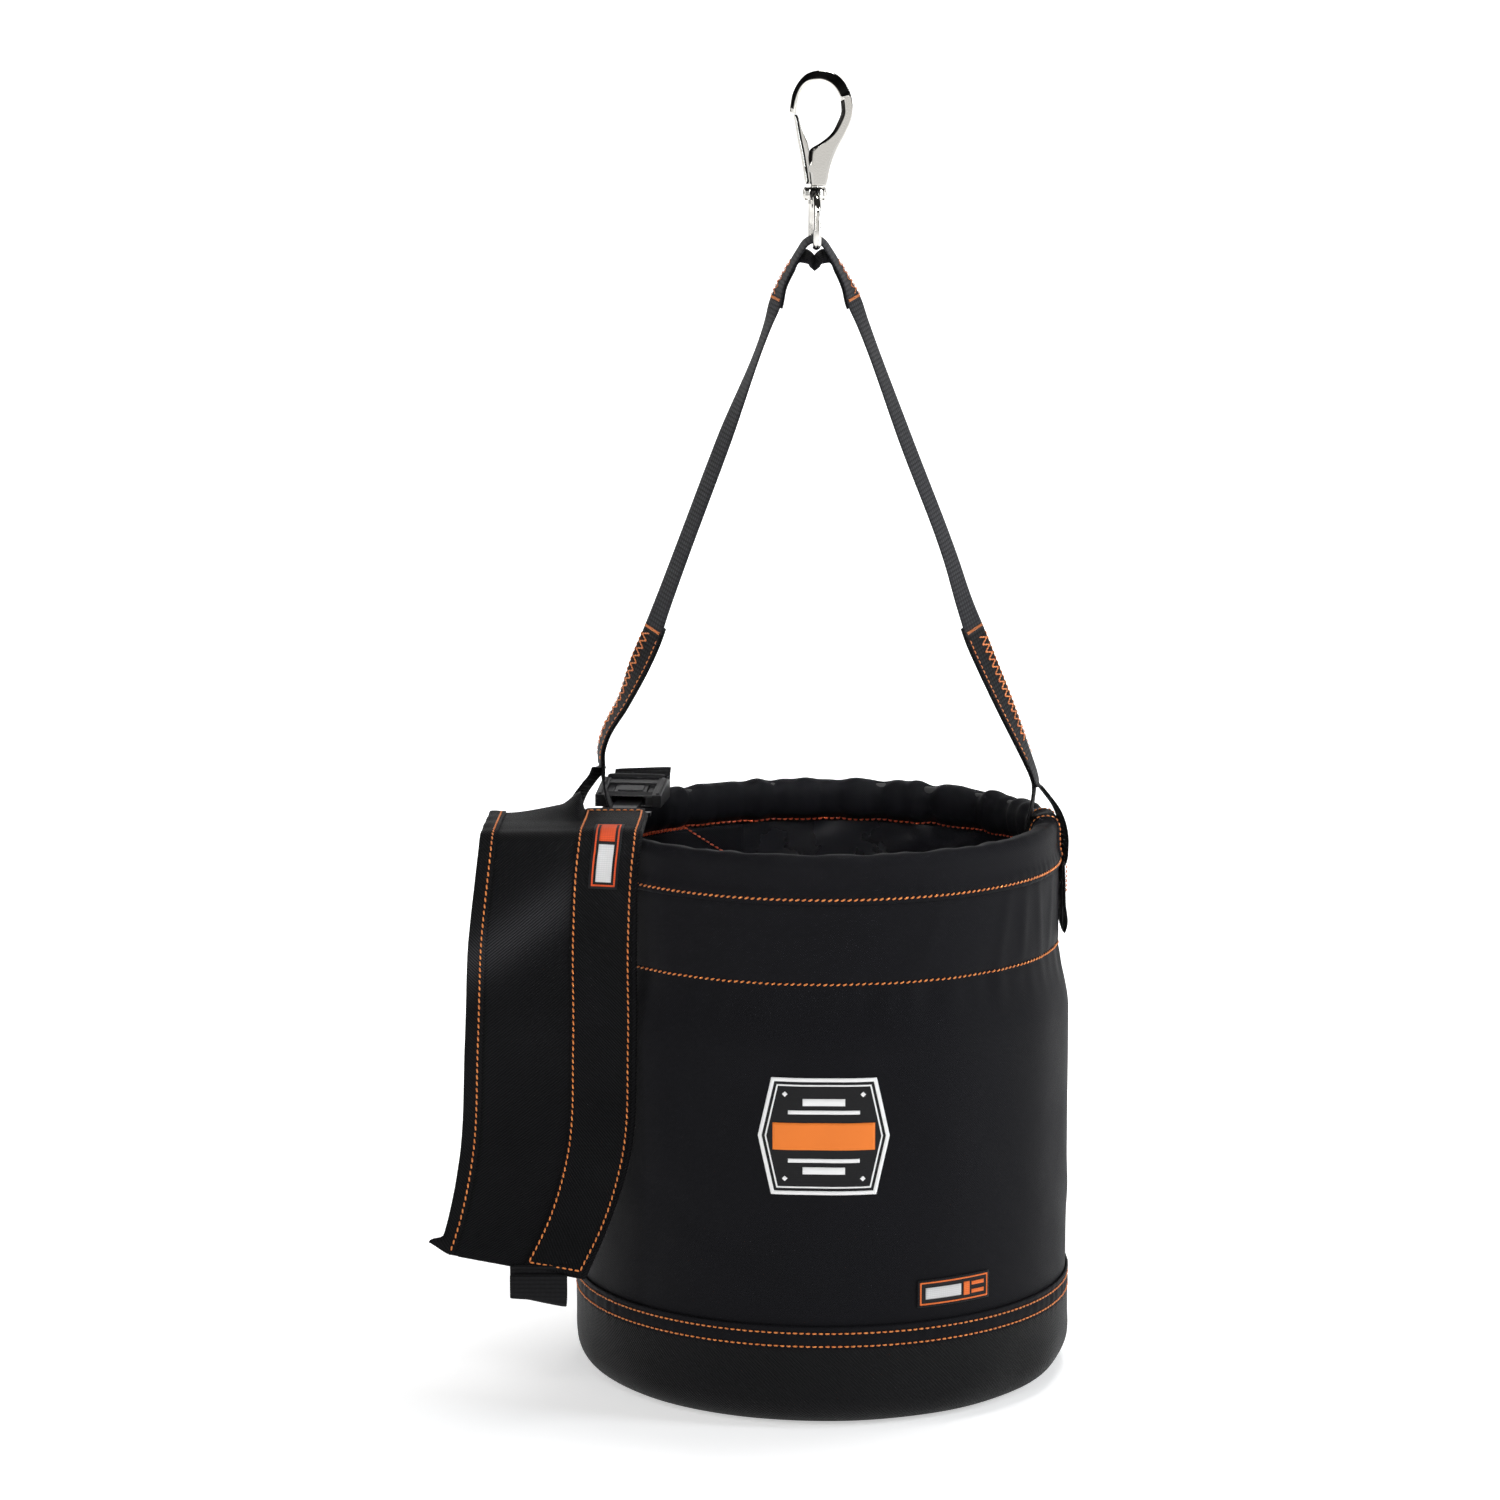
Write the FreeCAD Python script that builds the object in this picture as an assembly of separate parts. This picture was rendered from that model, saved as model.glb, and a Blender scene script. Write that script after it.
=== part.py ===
import FreeCAD, Part

import math
import os

from FreeCAD import Vector

# Soft hoist bucket with a webbing handle, a swivel snap hook and a buckled strip cover.
# Frame: origin at the centre of the underside, +Z up, handle in the XZ plane. Millimetres.

# Bucket shell
WALL_RADIUS = 157.9       # outside of the wall below the shoulder
NECK_RADIUS = 151.2       # outside of the wall above the shoulder
SHOULDER_LOW = 236.0      # heights between which the wall narrows
SHOULDER_HIGH = 281.0
WALL_THICK = 1.2
LINING_THICK = 0.8
LAYER_GAP = 0.2
WALL_TOP = 329.0
BOOT_TOP = 66.0
BOOT_THICK = 1.4
BOOT_CORNER = 23.0        # outside radius of the rounded lower corner
BASE_THICK = 3.0

# Rim
HEM_OUTER = 149.6
HEM_INNER = 134.8
HEM_TOP = 359.0
HOOP_WIDE = 8.0
HOOP_TALL = 18.0
HEM_THICK = 1.3
SADDLE_THICK = 1.3
SADDLE_WIDE = 38.0

# Webbing
WEB_WIDE = 25.4
WEB_THICK = 1.6
STRIP_WIDE = 38.0
TILT_Z = 388.0            # axis about which the handle folds down
FOOT_X = {"left": -142.7, "right": 136.6}
FLAT_FOOT = 13.2          # straight part of the handle's foot above the fold's axis
DOUBLER_LOW = 412.0
DOUBLER_HIGH = 485.0
FOOT_GAP = 0.35           # between the handle's foot and the rim loop's tongue
CROWN_X = -6.2            # the hook and its eye hang on this line

# Snap hook
EYE_WIRE = 2.1            # radius of the eye's wire
EYE_HALF = 15.8           # from the swivel line to the middle of a leg
EYE_LOW = 722.5
EYE_TURN = 7.0            # degrees that the eye is turned about the swivel line
COLLAR_LOW = 751.5
COLLAR_HIGH = 759.0
COLLAR_RADIUS = 7.2
STUD_RADIUS = 3.0
STUD_CLEAR = 0.06
HOOK_THICK = 6.5
PIN_X = -8.0
PIN_Z = 770.6
PIN_RADIUS = 1.5

# Buckle, in its own frame: local Y runs from the mouth of the socket to the far bar
BUCKLE_AT = (-125.4, 16.6)
BUCKLE_TURN = -7.0
BUCKLE_WIDE = 43.0
BUCKLE_LONG = 42.0
BUCKLE_LOW = 361.6
BUCKLE_HIGH = 370.6
TONGUE_WIDE = 16.4
SOCKET_HALF = 11.0

# Cover
COVER_LEFT = -214.0
COVER_RIGHT = -117.5
CLOTH = 2.4
LAYER_LIFT = 0.15         # between the folded layers
LABEL_WIDE = 14.0
LABEL_THICK = 0.7
LABEL_LOW = 318.0
LABEL_HIGH = 356.0
FOLD_Y = -101.5           # axis about which the hanging part of the cover swings
FOLD_Z = 363.6
FOLD_RADIUS = 3.4
BAR_TOP = 364.7           # the strip's webbing lies on the plug's bar
END_Y = -137.3            # axis of the folded webbing under the cover's lower edge
END_Z = 86.6
END_HALF = 2.7
TAB_X = 153.9
TAB_TOP = 321.0


def point(x, z, y=0.0):
    return Vector(x, y, z)


def line(start, end):
    return Part.makeLine(point(*start), point(*end))


def arc(start, middle, end):
    return Part.Arc(point(*start), point(*middle), point(*end)).toShape()


def bezier(poles):
    curve = Part.BezierCurve()
    curve.setPoles([point(*pole) for pole in poles])
    return curve.toShape()


def face(edges):
    return Part.Face(Part.Wire(Part.__sortEdges__(edges)))


def polygon(points):
    return Part.Face(Part.makePolygon([point(*p) for p in points + points[:1]]))


def turned(section, start=0.0, sweep=360.0):
    """Solid that a section in the XZ plane makes when it is turned about Z."""
    solid = section.revolve(Vector(0, 0, 0), Vector(0, 0, 1), sweep)
    solid.rotate(Vector(0, 0, 0), Vector(0, 0, 1), start)
    return solid


def slab(section, thick):
    """Solid of a section in the XZ plane, centred on y = 0."""
    solid = section.extrude(Vector(0, thick, 0))
    solid.translate(Vector(0, -thick / 2, 0))
    return solid


def box(low, high):
    size = [b - a for a, b in zip(low, high)]
    return Part.makeBox(*size, Vector(*low))


def rod(radius, start, end):
    along = Vector(*end) - Vector(*start)
    return Part.makeCylinder(radius, along.Length, Vector(*start), along)


def offset_points(curve, shift, count):
    """Points beside a flat curve in the XZ plane, at a distance to its left."""
    first, last = curve.ParameterRange
    points = []
    for step in range(count):
        at = first + (last - first) * step / (count - 1)
        spot = curve.valueAt(at)
        way = curve.tangentAt(at)
        points.append(spot + Vector(-way.z, 0, way.x) * shift)
    return points


def spline(points, closed=False):
    curve = Part.BSplineCurve()
    curve.interpolate(Points=points, PeriodicFlag=closed)
    return curve.toShape()


def band(points, thick, closed=False):
    """Section of a webbing band whose middle line runs through the points."""
    middle = spline([point(*p) for p in points], closed)
    count = 4 * len(points)
    sides = []
    for shift in (-thick / 2, thick / 2):
        beside = offset_points(middle, shift, count)
        sides.append(spline(beside[:-1] if closed else beside, closed))
    if closed:
        rings = sorted((Part.Face(Part.Wire([side])) for side in sides), key=lambda f: f.Area)
        return rings[1].cut(rings[0])
    ends = [Part.makeLine(sides[0].valueAt(at), sides[1].valueAt(bt)) for at, bt in (
        (sides[0].FirstParameter, sides[1].FirstParameter),
        (sides[0].LastParameter, sides[1].LastParameter))]
    return face(sides + ends)


def mirrored(points, side):
    """Points given for the right-hand side, taken to the side that is named."""
    sign = 1 if side == "right" else -1
    return [(sign * x, z) for x, z in points]


# ---------------------------------------------------------------- bucket shell

def wall_line(inset):
    """Wall from the lower corner to the hem, inset from its outer surface."""
    wide, neck = WALL_RADIUS - inset, NECK_RADIUS - inset
    ease = (SHOULDER_HIGH - SHOULDER_LOW) * 0.45
    shoulder = [(wide, SHOULDER_LOW), (wide, SHOULDER_LOW + ease),
                (neck, SHOULDER_HIGH - ease), (neck, SHOULDER_HIGH)]
    return bezier(shoulder), (wide, SHOULDER_LOW), (neck, SHOULDER_HIGH), (neck, WALL_TOP)


def outer_wall():
    low = BOOT_CORNER + 1.0
    edges = []
    for inset in (0.0, WALL_THICK):
        shoulder, start, end, top = wall_line(inset)
        edges += [line((start[0], low), start), shoulder, line(end, top)]
    edges.append(line((WALL_RADIUS, low), (WALL_RADIUS - WALL_THICK, low)))
    edges.append(line((NECK_RADIUS, WALL_TOP), (NECK_RADIUS - WALL_THICK, WALL_TOP)))
    return turned(face(edges)).cut(loop_slots())


def corner_arc(radius, floor, corner):
    """Quarter round between a floor and a wall."""
    half = corner * math.sqrt(0.5)
    x, z = radius - corner, floor + corner
    return arc((x, floor), (x + half, z - half), (radius, z))


def inner_lining():
    floor = BOOT_THICK + BASE_THICK + 2 * LAYER_GAP
    edges = []
    for extra in (0.0, LINING_THICK):
        inset = WALL_THICK + LAYER_GAP + extra
        radius, corner = WALL_RADIUS - inset, BOOT_CORNER - 3 - extra
        shoulder, start, end, top = wall_line(inset)
        level = floor + extra
        edges += [line((0, level), (radius - corner, level)), corner_arc(radius, level, corner),
                  line((radius, level + corner), start), shoulder, line(end, top)]
    edges.append(line((0, floor), (0, floor + LINING_THICK)))
    edges.append(line(top, (top[0] + LINING_THICK, WALL_TOP)))
    return turned(face(edges)).cut(loop_slots())


def loop_slots():
    """Slots under the hem that the rim loops pass through."""
    high, low = WALL_TOP - 1.5, WALL_TOP - 6.6
    half = WEB_WIDE / 2 + 0.7
    return box((-170, -half, low), (170, half, high))


def bottom_boot():
    radius = WALL_RADIUS + BOOT_THICK
    edges = []
    for inset in (0.0, BOOT_THICK - 0.1):
        edges += [corner_arc(radius - inset, inset, BOOT_CORNER - inset),
                  line((radius - inset, BOOT_CORNER), (radius - inset, BOOT_TOP))]
    start = radius - BOOT_CORNER
    edges.append(line((start, 0), (start, BOOT_THICK - 0.1)))
    edges.append(line((radius, BOOT_TOP), (radius - BOOT_THICK + 0.1, BOOT_TOP)))
    return turned(face(edges))


def bottom_panel():
    return Part.makeCylinder(WALL_RADIUS + BOOT_THICK - BOOT_CORNER - 0.1, BOOT_THICK)


def base_stiffener():
    low = BOOT_THICK + LAYER_GAP
    return Part.makeCylinder(WALL_RADIUS - BOOT_CORNER, BASE_THICK, Vector(0, 0, low))


def hem_wire():
    """Section of the hem: a drop shape that tapers down to the wall."""
    half = (HEM_OUTER - HEM_INNER) / 2
    middle, level = HEM_INNER + half, HEM_TOP - half
    outer, inner = (NECK_RADIUS - 0.1, WALL_TOP), (NECK_RADIUS - 3.8, WALL_TOP)
    outer_low, inner_low = (HEM_OUTER, WALL_TOP + 7), (HEM_INNER, WALL_TOP + 9)
    edges = [line(outer, outer_low), line(outer_low, (HEM_OUTER, level)),
             arc((HEM_OUTER, level), (middle, HEM_TOP), (HEM_INNER, level)),
             line((HEM_INNER, level), inner_low), line(inner_low, inner), line(inner, outer)]
    return Part.Wire(Part.__sortEdges__(edges))


def rounded_bar(wide, tall):
    """Section with half-round ends in the middle of the hem."""
    half, reach = wide / 2, (tall - wide) / 2
    x = (HEM_INNER + HEM_OUTER) / 2
    z = HEM_TOP - HEM_THICK - 0.4 - HOOP_TALL / 2
    low, high = z - reach, z + reach
    return face([line((x - half, low), (x - half, high)), line((x + half, low), (x + half, high)),
                 arc((x - half, high), (x, high + half), (x + half, high)),
                 arc((x - half, low), (x, low - half), (x + half, low))])


def rim_hem():
    cavity = rounded_bar(HOOP_WIDE + 0.6, HOOP_TALL + 0.6)
    return turned(Part.Face(hem_wire()).cut(cavity))


def rim_hoop():
    return turned(rounded_bar(HOOP_WIDE, HOOP_TALL))


def rim_saddle(side):
    """Patch sewn over the hem where a rim loop bears on it."""
    outer = Part.Face(hem_wire().makeOffset2D(SADDLE_THICK + 0.1))
    inner = Part.Face(hem_wire().makeOffset2D(0.1))
    above = polygon([(120, 334), (165, 334), (165, 370), (120, 370)])
    section = outer.cut(inner).common(above)
    sweep = math.degrees(SADDLE_WIDE / HEM_OUTER)
    middle = 0 if side == "right" else 180
    return turned(section, middle - sweep / 2, sweep)


# ---------------------------------------------------------------- patches on the shell

def on_wall(outline, turn, inner, outer):
    """Piece of a thin cylinder under an outline that is seen from the front."""
    shell = Part.makeCylinder(outer, 500).cut(Part.makeCylinder(inner, 500))
    prism = polygon(outline).extrude(Vector(0, -200, 0))
    piece = shell.common(prism)
    piece.rotate(Vector(0, 0, 0), Vector(0, 0, 1), turn)
    return piece


def emblem_patch():
    """Plain six-sided badge with two pointed sides."""
    half, point_half, tall, middle = 33.0, 41.0, 37.0, 186.3
    outline = [(-half, middle - tall), (half, middle - tall), (point_half, middle),
               (half, middle + tall), (-half, middle + tall), (-point_half, middle)]
    return on_wall(outline, 0, WALL_RADIUS + 0.05, WALL_RADIUS + 0.65)


def front_label():
    half, low, high = 26.0, 75.6, 92.6
    outline = [(-half, low), (half, low), (half, high), (-half, high)]
    return on_wall(outline, 30.0, WALL_RADIUS + 0.05, WALL_RADIUS + 1.0)


def inner_patch():
    """Reinforcement on the lining behind the left rim loop and the buckle."""
    inner = NECK_RADIUS - WALL_THICK - LINING_THICK - LAYER_GAP - 0.8
    outline = [(-62, 327), (48, 327), (30, 292), (-62, 292)]
    return on_wall(outline, -126.0, inner, inner + 0.75).cut(loop_slots())


# ---------------------------------------------------------------- handle webbing

def rim_loop(side):
    """Webbing that wraps round the hem and ends in a doubled tongue at the handle's fold."""
    foot = abs(FOOT_X[side])
    tongue = foot - WEB_THICK * 1.5 - FOOT_GAP
    knee = (tongue - 0.4, 364.5) if side == "left" else (tongue - 1.2, 363)
    ring = [(tongue, 372), (tongue * 0.5 + 77.5, 368), (153.4, 357), (155.2, 343),
            (154.8, 333), (152.1, 326.8), (146, 324.7), (138, 325.2), (131.8, 333), (130.7, 345),
            (131.5, 353.5), ((131.5 + knee[0]) / 2 - 0.6, 360.4), knee]
    loop = slab(band(mirrored(ring, side), WEB_THICK, closed=True), WEB_WIDE)
    return loop.fuse(round_tongue(side, tongue)).removeSplitter()


def round_tongue(side, middle):
    """Two layers of webbing with a round end about the handle's fold."""
    half = WEB_WIDE / 2
    sign = 1 if side == "right" else -1
    low = 370.0
    start = sign * middle - WEB_THICK
    plate = box((start, -half, low), (start + 2 * WEB_THICK, half, TILT_Z))
    end = rod(half, (start, 0, TILT_Z), (start + 2 * WEB_THICK, 0, TILT_Z))
    return plate.fuse(end)


def strap_path(side):
    """Middle line of one half of the handle, from its foot to the crown."""
    reach = {
        "left": [(-127.8, 433.8), (-111.1, 472), (-92.2, 523), (-63.6, 599), (-34.8, 675)],
        "right": [(115.2, 433.8), (98.6, 472), (81.2, 523), (52.2, 599), (23.8, 675)],
    }[side]
    foot = FOOT_X[side]
    lean = 2.2 if side == "left" else -2.6
    start = TILT_Z + FLAT_FOOT
    return [(foot, start), (foot + lean * 0.03, start + 2), (foot + lean, start + 9)] + reach


def crown_path():
    """Top of the handle: up to the eye, over its bar and down again."""
    rise = [(24.9, 688), (21.0, 698), (15.8, 708), (9.6, 718.6), (4.8, 724.9)]
    left = [(CROWN_X - x, z) for x, z in rise]
    right = [(CROWN_X + x, z) for x, z in reversed(rise)]
    return left + [(CROWN_X, 727.2)] + right


def handle_path():
    return strap_path("left") + crown_path() + strap_path("right")[::-1]


def handle_webbing():
    """One length of webbing from foot to foot, with round ends about the fold."""
    strap = slab(band(handle_path(), WEB_THICK), WEB_WIDE)
    half = WEB_WIDE / 2
    for side in ("left", "right"):
        start, end = FOOT_X[side] - WEB_THICK / 2, FOOT_X[side] + WEB_THICK / 2
        foot = box((start, -half, TILT_Z), (end, half, TILT_Z + FLAT_FOOT + 0.3))
        strap = strap.fuse(foot.fuse(rod(half, (start, 0, TILT_Z), (end, 0, TILT_Z))))
    return strap


def handle_doubler(side):
    """Returned end of the webbing, sewn to the inner face of the strap."""
    middle = spline([point(*p) for p in handle_path()])
    inner = offset_points(middle, -(WEB_THICK + LAYER_LIFT), 160)
    sign = 1 if side == "right" else -1
    inner = [(p.x, p.z) for p in inner if p.x * sign > 0 and DOUBLER_LOW < p.z < DOUBLER_HIGH]
    return slab(band(inner, WEB_THICK), WEB_WIDE)


def crown_keeper():
    """Short length under the eye's bar that keeps the eye at the crown."""
    half = [(23.0, 687.2), (19.1, 697.3), (13.8, 707.0), (8.4, 713.8), (3.6, 713.4)]
    path = [(CROWN_X - x, z) for x, z in half] + [(CROWN_X, 711.6)]
    path += [(CROWN_X + x, z) for x, z in reversed(half)]
    return slab(band(path, WEB_THICK), WEB_WIDE - 1)


# ---------------------------------------------------------------- snap hook

def swivel_eye():
    """Wire stirrup under a round collar, with a bore for the hook's stud."""
    bend = 4.2
    corner = bend * (1 - math.sqrt(0.5))
    low, high = EYE_LOW, COLLAR_LOW - 11.0
    turn = EYE_HALF - bend
    stirrup = rod(EYE_WIRE, (0, -turn, low), (0, turn, low))
    for sign in (-1, 1):
        leg = sign * EYE_HALF
        path = [flat_arc((sign * turn, low), (leg - sign * corner, low + corner), (leg, low + bend)),
                flat_line((leg, low + bend), (leg, high)),
                flat_arc((leg, high), (leg - sign * 2.6, high + 8.6), (sign * 6, high + 13.6))]
        circle = Part.Wire([Part.makeCircle(EYE_WIRE, Vector(0, sign * turn, low), Vector(0, 1, 0))])
        stirrup = stirrup.fuse(Part.Wire(path).makePipeShell([circle], True, True))
    tall = COLLAR_HIGH - COLLAR_LOW
    collar = Part.makeCylinder(COLLAR_RADIUS, tall, Vector(0, 0, COLLAR_LOW))
    collar = collar.makeFillet(2.4, [e for e in collar.Edges if e.Curve.TypeId == "Part::GeomCircle"])
    bore = Part.makeCylinder(STUD_RADIUS + STUD_CLEAR, 60, Vector(0, 0, COLLAR_LOW - 30))
    eye = stirrup.fuse(collar).cut(bore).removeSplitter()
    eye.rotate(Vector(0, 0, 0), Vector(0, 0, 1), EYE_TURN)
    eye.translate(Vector(CROWN_X, 0, 0))
    return eye


def flat_line(start, end):
    return Part.makeLine(Vector(0, *start), Vector(0, *end))


def flat_arc(start, middle, end):
    return Part.Arc(Vector(0, *start), Vector(0, *middle), Vector(0, *end)).toShape()


def hook_outline():
    """Outer and inner outline of the hook, from the tip of its nose round to the neck."""
    outer = [(-22.4, 805.2), (-20.9, 815), (-17.6, 822.6), (-12.0, 828.9), (-3.0, 831.5),
             (8.2, 828.4), (14.8, 820.2), (17.4, 811.2), (16.2, 799.5), (11.4, 788.5),
             (6.6, 778.5), (3.2, 768), (1.6, 759.6)]
    inner = [(-17.8, 804.4), (-17.0, 811), (-14.6, 818), (-10, 823.2), (-3.5, 825.2),
             (4, 822.2), (8.6, 816), (10.2, 809), (8.6, 800.5), (4.4, 792.6), (-2, 787), (-9.6, 782)]
    return outer, inner


def hook_body():
    outer, inner = hook_outline()
    curves = [spline([point(*p) for p in outer]), spline([point(*p) for p in inner])]
    neck = [(-9.6, 782), (-10.4, 775), (-10.4, 765), (-12.0, 762), (-12.0, 759.6), (1.6, 759.6)]
    edges = curves + [line(a, b) for a, b in zip(neck, neck[1:])] + [line(outer[0], inner[0])]
    body = slab(face(edges), HOOK_THICK)
    rounded = [e for e in body.Edges if abs(abs(e.CenterOfMass.y) - HOOK_THICK / 2) < 0.01
               and e.Length > 40]
    body = body.makeFillet(1.9, rounded)
    hole = rod(PIN_RADIUS, (PIN_X, -6, PIN_Z), (PIN_X, 6, PIN_Z))
    recess = rod(3.2, (PIN_X, -HOOK_THICK / 2 - 1, PIN_Z), (PIN_X, -HOOK_THICK / 2 + 1.5, PIN_Z))
    seat = Part.makeCylinder(STUD_RADIUS, 4.0, Vector(CROWN_X, 0, COLLAR_HIGH))
    return body.cut(hole).cut(recess).cut(seat)


def swivel_stud():
    """Stud set in the hook's neck, headed under the collar so that the hook turns."""
    shank = Part.makeCylinder(STUD_RADIUS, 14.6, Vector(CROWN_X, 0, COLLAR_LOW - 3.1))
    head = Part.makeCylinder(4.6, 2.6, Vector(CROWN_X, 0, COLLAR_LOW - 3.1))
    return shank.fuse(head).removeSplitter()


def gate_lever():
    """Sprung gate: a bar that closes the hook's mouth, on cheeks either side of the neck."""
    bar = [(-20.2, 803.4), (-17.0, 803.4), (-14.4, 788), (-12.7, 775), (-12.5, 763.5), (-14.8, 760.4),
           (-16.6, 763), (-17.2, 775), (-18.6, 788)]
    cheek = [(-16.9, 774.5), (-9.4, 774.2), (-5.2, 770.6), (-9.4, 767), (-16.4, 766)]
    half_bar, low, high = 2.9, HOOK_THICK / 2 + 0.35, HOOK_THICK / 2 + 1.45
    gate = slab(polygon(bar), 2 * half_bar)
    web = slab(polygon([(-17.2, 775), (-12.7, 775), (-12.6, 766), (-16.7, 766)]), 2 * high)
    gate = gate.fuse(web)
    for sign in (-1, 1):
        plate = polygon(cheek).extrude(Vector(0, high - low, 0))
        plate.translate(Vector(0, low if sign > 0 else -high, 0))
        gate = gate.fuse(plate)
    hole = rod(PIN_RADIUS + 0.05, (PIN_X, -8, PIN_Z), (PIN_X, 8, PIN_Z))
    return gate.cut(hole).removeSplitter()


def gate_pin():
    half = HOOK_THICK / 2 + 1.9
    pin = rod(PIN_RADIUS, (PIN_X, -half, PIN_Z), (PIN_X, half, PIN_Z))
    heads = [rod(2.3, (PIN_X, s * (half + 0.05), PIN_Z), (PIN_X, s * (half - 0.35), PIN_Z))
             for s in (-1, 1)]
    return pin.fuse(heads).removeSplitter()


def gate_spring():
    """Torsion spring coiled on the pin inside the neck's recess."""
    outer, inner = 2.7, PIN_RADIUS + 0.15
    start, end = -HOOK_THICK / 2 + 0.1, -HOOK_THICK / 2 + 1.4
    ring = rod(outer, (PIN_X, start, PIN_Z), (PIN_X, end, PIN_Z))
    return ring.cut(rod(inner, (PIN_X, start - 1, PIN_Z), (PIN_X, end + 1, PIN_Z)))


# ---------------------------------------------------------------- buckle

def placed(shape):
    """Shape from the buckle's own frame in its place on the rim."""
    shape.rotate(Vector(0, 0, 0), Vector(0, 0, 1), BUCKLE_TURN)
    shape.translate(Vector(BUCKLE_AT[0], BUCKLE_AT[1], 0))
    return shape


def centred(half_wide, start, end, low, high):
    return box((-half_wide, start, low), (half_wide, end, high))


def chamfered(solid, size, pick):
    return solid.makeChamfer(size, [e for e in solid.Edges if pick(e)])


def buckle_body():
    """Socket half of a centre-push buckle, with a far bar for its webbing."""
    half = BUCKLE_WIDE / 2
    top = BUCKLE_HIGH - 0.01
    shell = centred(half, 0, BUCKLE_LONG, BUCKLE_LOW, BUCKLE_HIGH)
    shell = chamfered(shell, 2.2, lambda e: e.BoundBox.ZMin > top and e.BoundBox.XLength < 1)
    socket = centred(SOCKET_HALF, -1, 30.5, BUCKLE_LOW + 1.2, BUCKLE_LOW + 6.4)
    window = centred(SOCKET_HALF, 7, 24, BUCKLE_LOW + 3, BUCKLE_HIGH + 1)
    webbing_slot = centred(STRIP_WIDE / 2 + 0.4, 32.5, 37.5, BUCKLE_LOW - 1, BUCKLE_HIGH + 1)
    return placed(shell.cut(socket).cut(window).cut(webbing_slot))


def release_button():
    """Button in the window: it springs the tongue free when it is pressed."""
    cap = centred(SOCKET_HALF - 0.4, 7.4, 23.6, BUCKLE_LOW + 6.6, BUCKLE_HIGH - 0.3)
    return placed(chamfered(cap, 0.5, lambda e: e.BoundBox.ZMin > BUCKLE_HIGH - 0.4))


def button_springs():
    """Two springs that stand beside the tongue's path, under the button's edges."""
    low, high = BUCKLE_LOW + 1.25, BUCKLE_LOW + 6.55
    bars = [box((x, 10, low), (x + 0.8, 21, high)) for x in (-SOCKET_HALF + 0.4, SOCKET_HALF - 1.2)]
    return placed(Part.makeCompound(bars))


def buckle_tongue():
    """Plug half of the buckle: a centre prong, a neck and a bar for the cover's webbing."""
    low = BUCKLE_LOW + 1.4
    half = TONGUE_WIDE / 2
    prong = centred(half, -34, 26, low, BAR_TOP)
    for sign in (-1, 1):
        notch = box((-1.4, 10, low - 1), (1.4, 20, BAR_TOP + 1))
        notch.translate(Vector(sign * half, 0, 0))
        prong = prong.cut(notch)
    bar = centred(STRIP_WIDE / 2 + 1, -38.5, -32.9, low - 0.6, BAR_TOP)
    return placed(prong.fuse(bar).removeSplitter())


def buckle_anchor_webbing():
    """Webbing from the top of the hem round the buckle's far bar."""
    low, far = BUCKLE_LOW - 1.1, BUCKLE_LONG
    path = [(8, low), (24, low), (38, low), (far + 2.6, low + 1.2), (far + 4.6, 366),
            (far + 2.2, 371.2), (far - 1.5, 372.4), (37.0, 371.8), (35.2, 369), (35, 365.5)]
    return placed(across(path, STRIP_WIDE))


def buckle_webbing_tail():
    """Free end of the same webbing, standing up behind the far bar."""
    far = BUCKLE_LONG
    path = [(far + 8.2, 366), (far + 9.2, 369.8), (far + 11, 374), (far + 14, 378.2)]
    tail = across(path, STRIP_WIDE)
    tail.rotate(Vector(0, far, 0), Vector(0, 0, 1), -6)
    return placed(tail)


def across(path, wide):
    """Band that runs along local Y and is as wide as given along local X."""
    strap = slab(band(path, WEB_THICK), wide)
    strap.rotate(Vector(0, 0, 0), Vector(0, 0, 1), 90)
    return strap


# ---------------------------------------------------------------- cover

def drape():
    """Levels of the hanging cover: height, left edge, right edge, back face, strip's left edge."""
    return [(360.0, COVER_LEFT, COVER_RIGHT, -98.6, -160.5),
            (300.0, -220.5, COVER_RIGHT, -106.0, -158.5),
            (235.0, -223.5, COVER_RIGHT, -109.5, -158.5),
            (160.0, -227.5, -122.5, -114.5, -163.0),
            (118.0, -236.0, -136.5, -122.0, -176.0),
            (90.0, -245.5, -149.5, -133.0, -190.5)]


def draped(levels):
    """Sheet through level rectangles: (height, low x, high x, back y, front y)."""
    wires = []
    for z, low, high, back, front in levels:
        corners = [(low, back), (high, back), (high, front), (low, front), (low, back)]
        wires.append(Part.makePolygon([Vector(x, y, z) for x, y in corners]))
    return Part.makeLoft(wires, True, True)


def hanging(layer):
    """One layer of the hanging cover, counted from the bucket outwards."""
    start = layer * (CLOTH + LAYER_LIFT)
    return draped([(z, low, high, back - start, back - start - CLOTH)
                   for z, low, high, back, strip in drape()])


def on_strip(wide, lift, thick):
    """Band of a given width on the strip's middle line, lifted off the wings."""
    base = 2 * (CLOTH + LAYER_LIFT) + lift
    inset = (STRIP_WIDE - wide) / 2
    return draped([(z, left + inset, left + inset + wide, back - base, back - base - thick)
                   for z, low, high, back, left in drape()])


def cover_wing_left():
    return hanging(1)


def cover_wing_right():
    """Second wing, folded back behind the strip."""
    return hanging(0)


def cover_strip():
    return on_strip(STRIP_WIDE, 0, WEB_THICK)


def cover_label():
    label = on_strip(LABEL_WIDE, WEB_THICK + 0.1, LABEL_THICK)
    return label.common(box((-400, -400, LABEL_LOW), (0, 0, LABEL_HIGH)))


def cover_fold_roll():
    """Round fold of the cover over the rim: the hanging part swings about its middle."""
    return rod(FOLD_RADIUS, (COVER_LEFT, FOLD_Y, FOLD_Z), (COVER_RIGHT, FOLD_Y, FOLD_Z))


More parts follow.
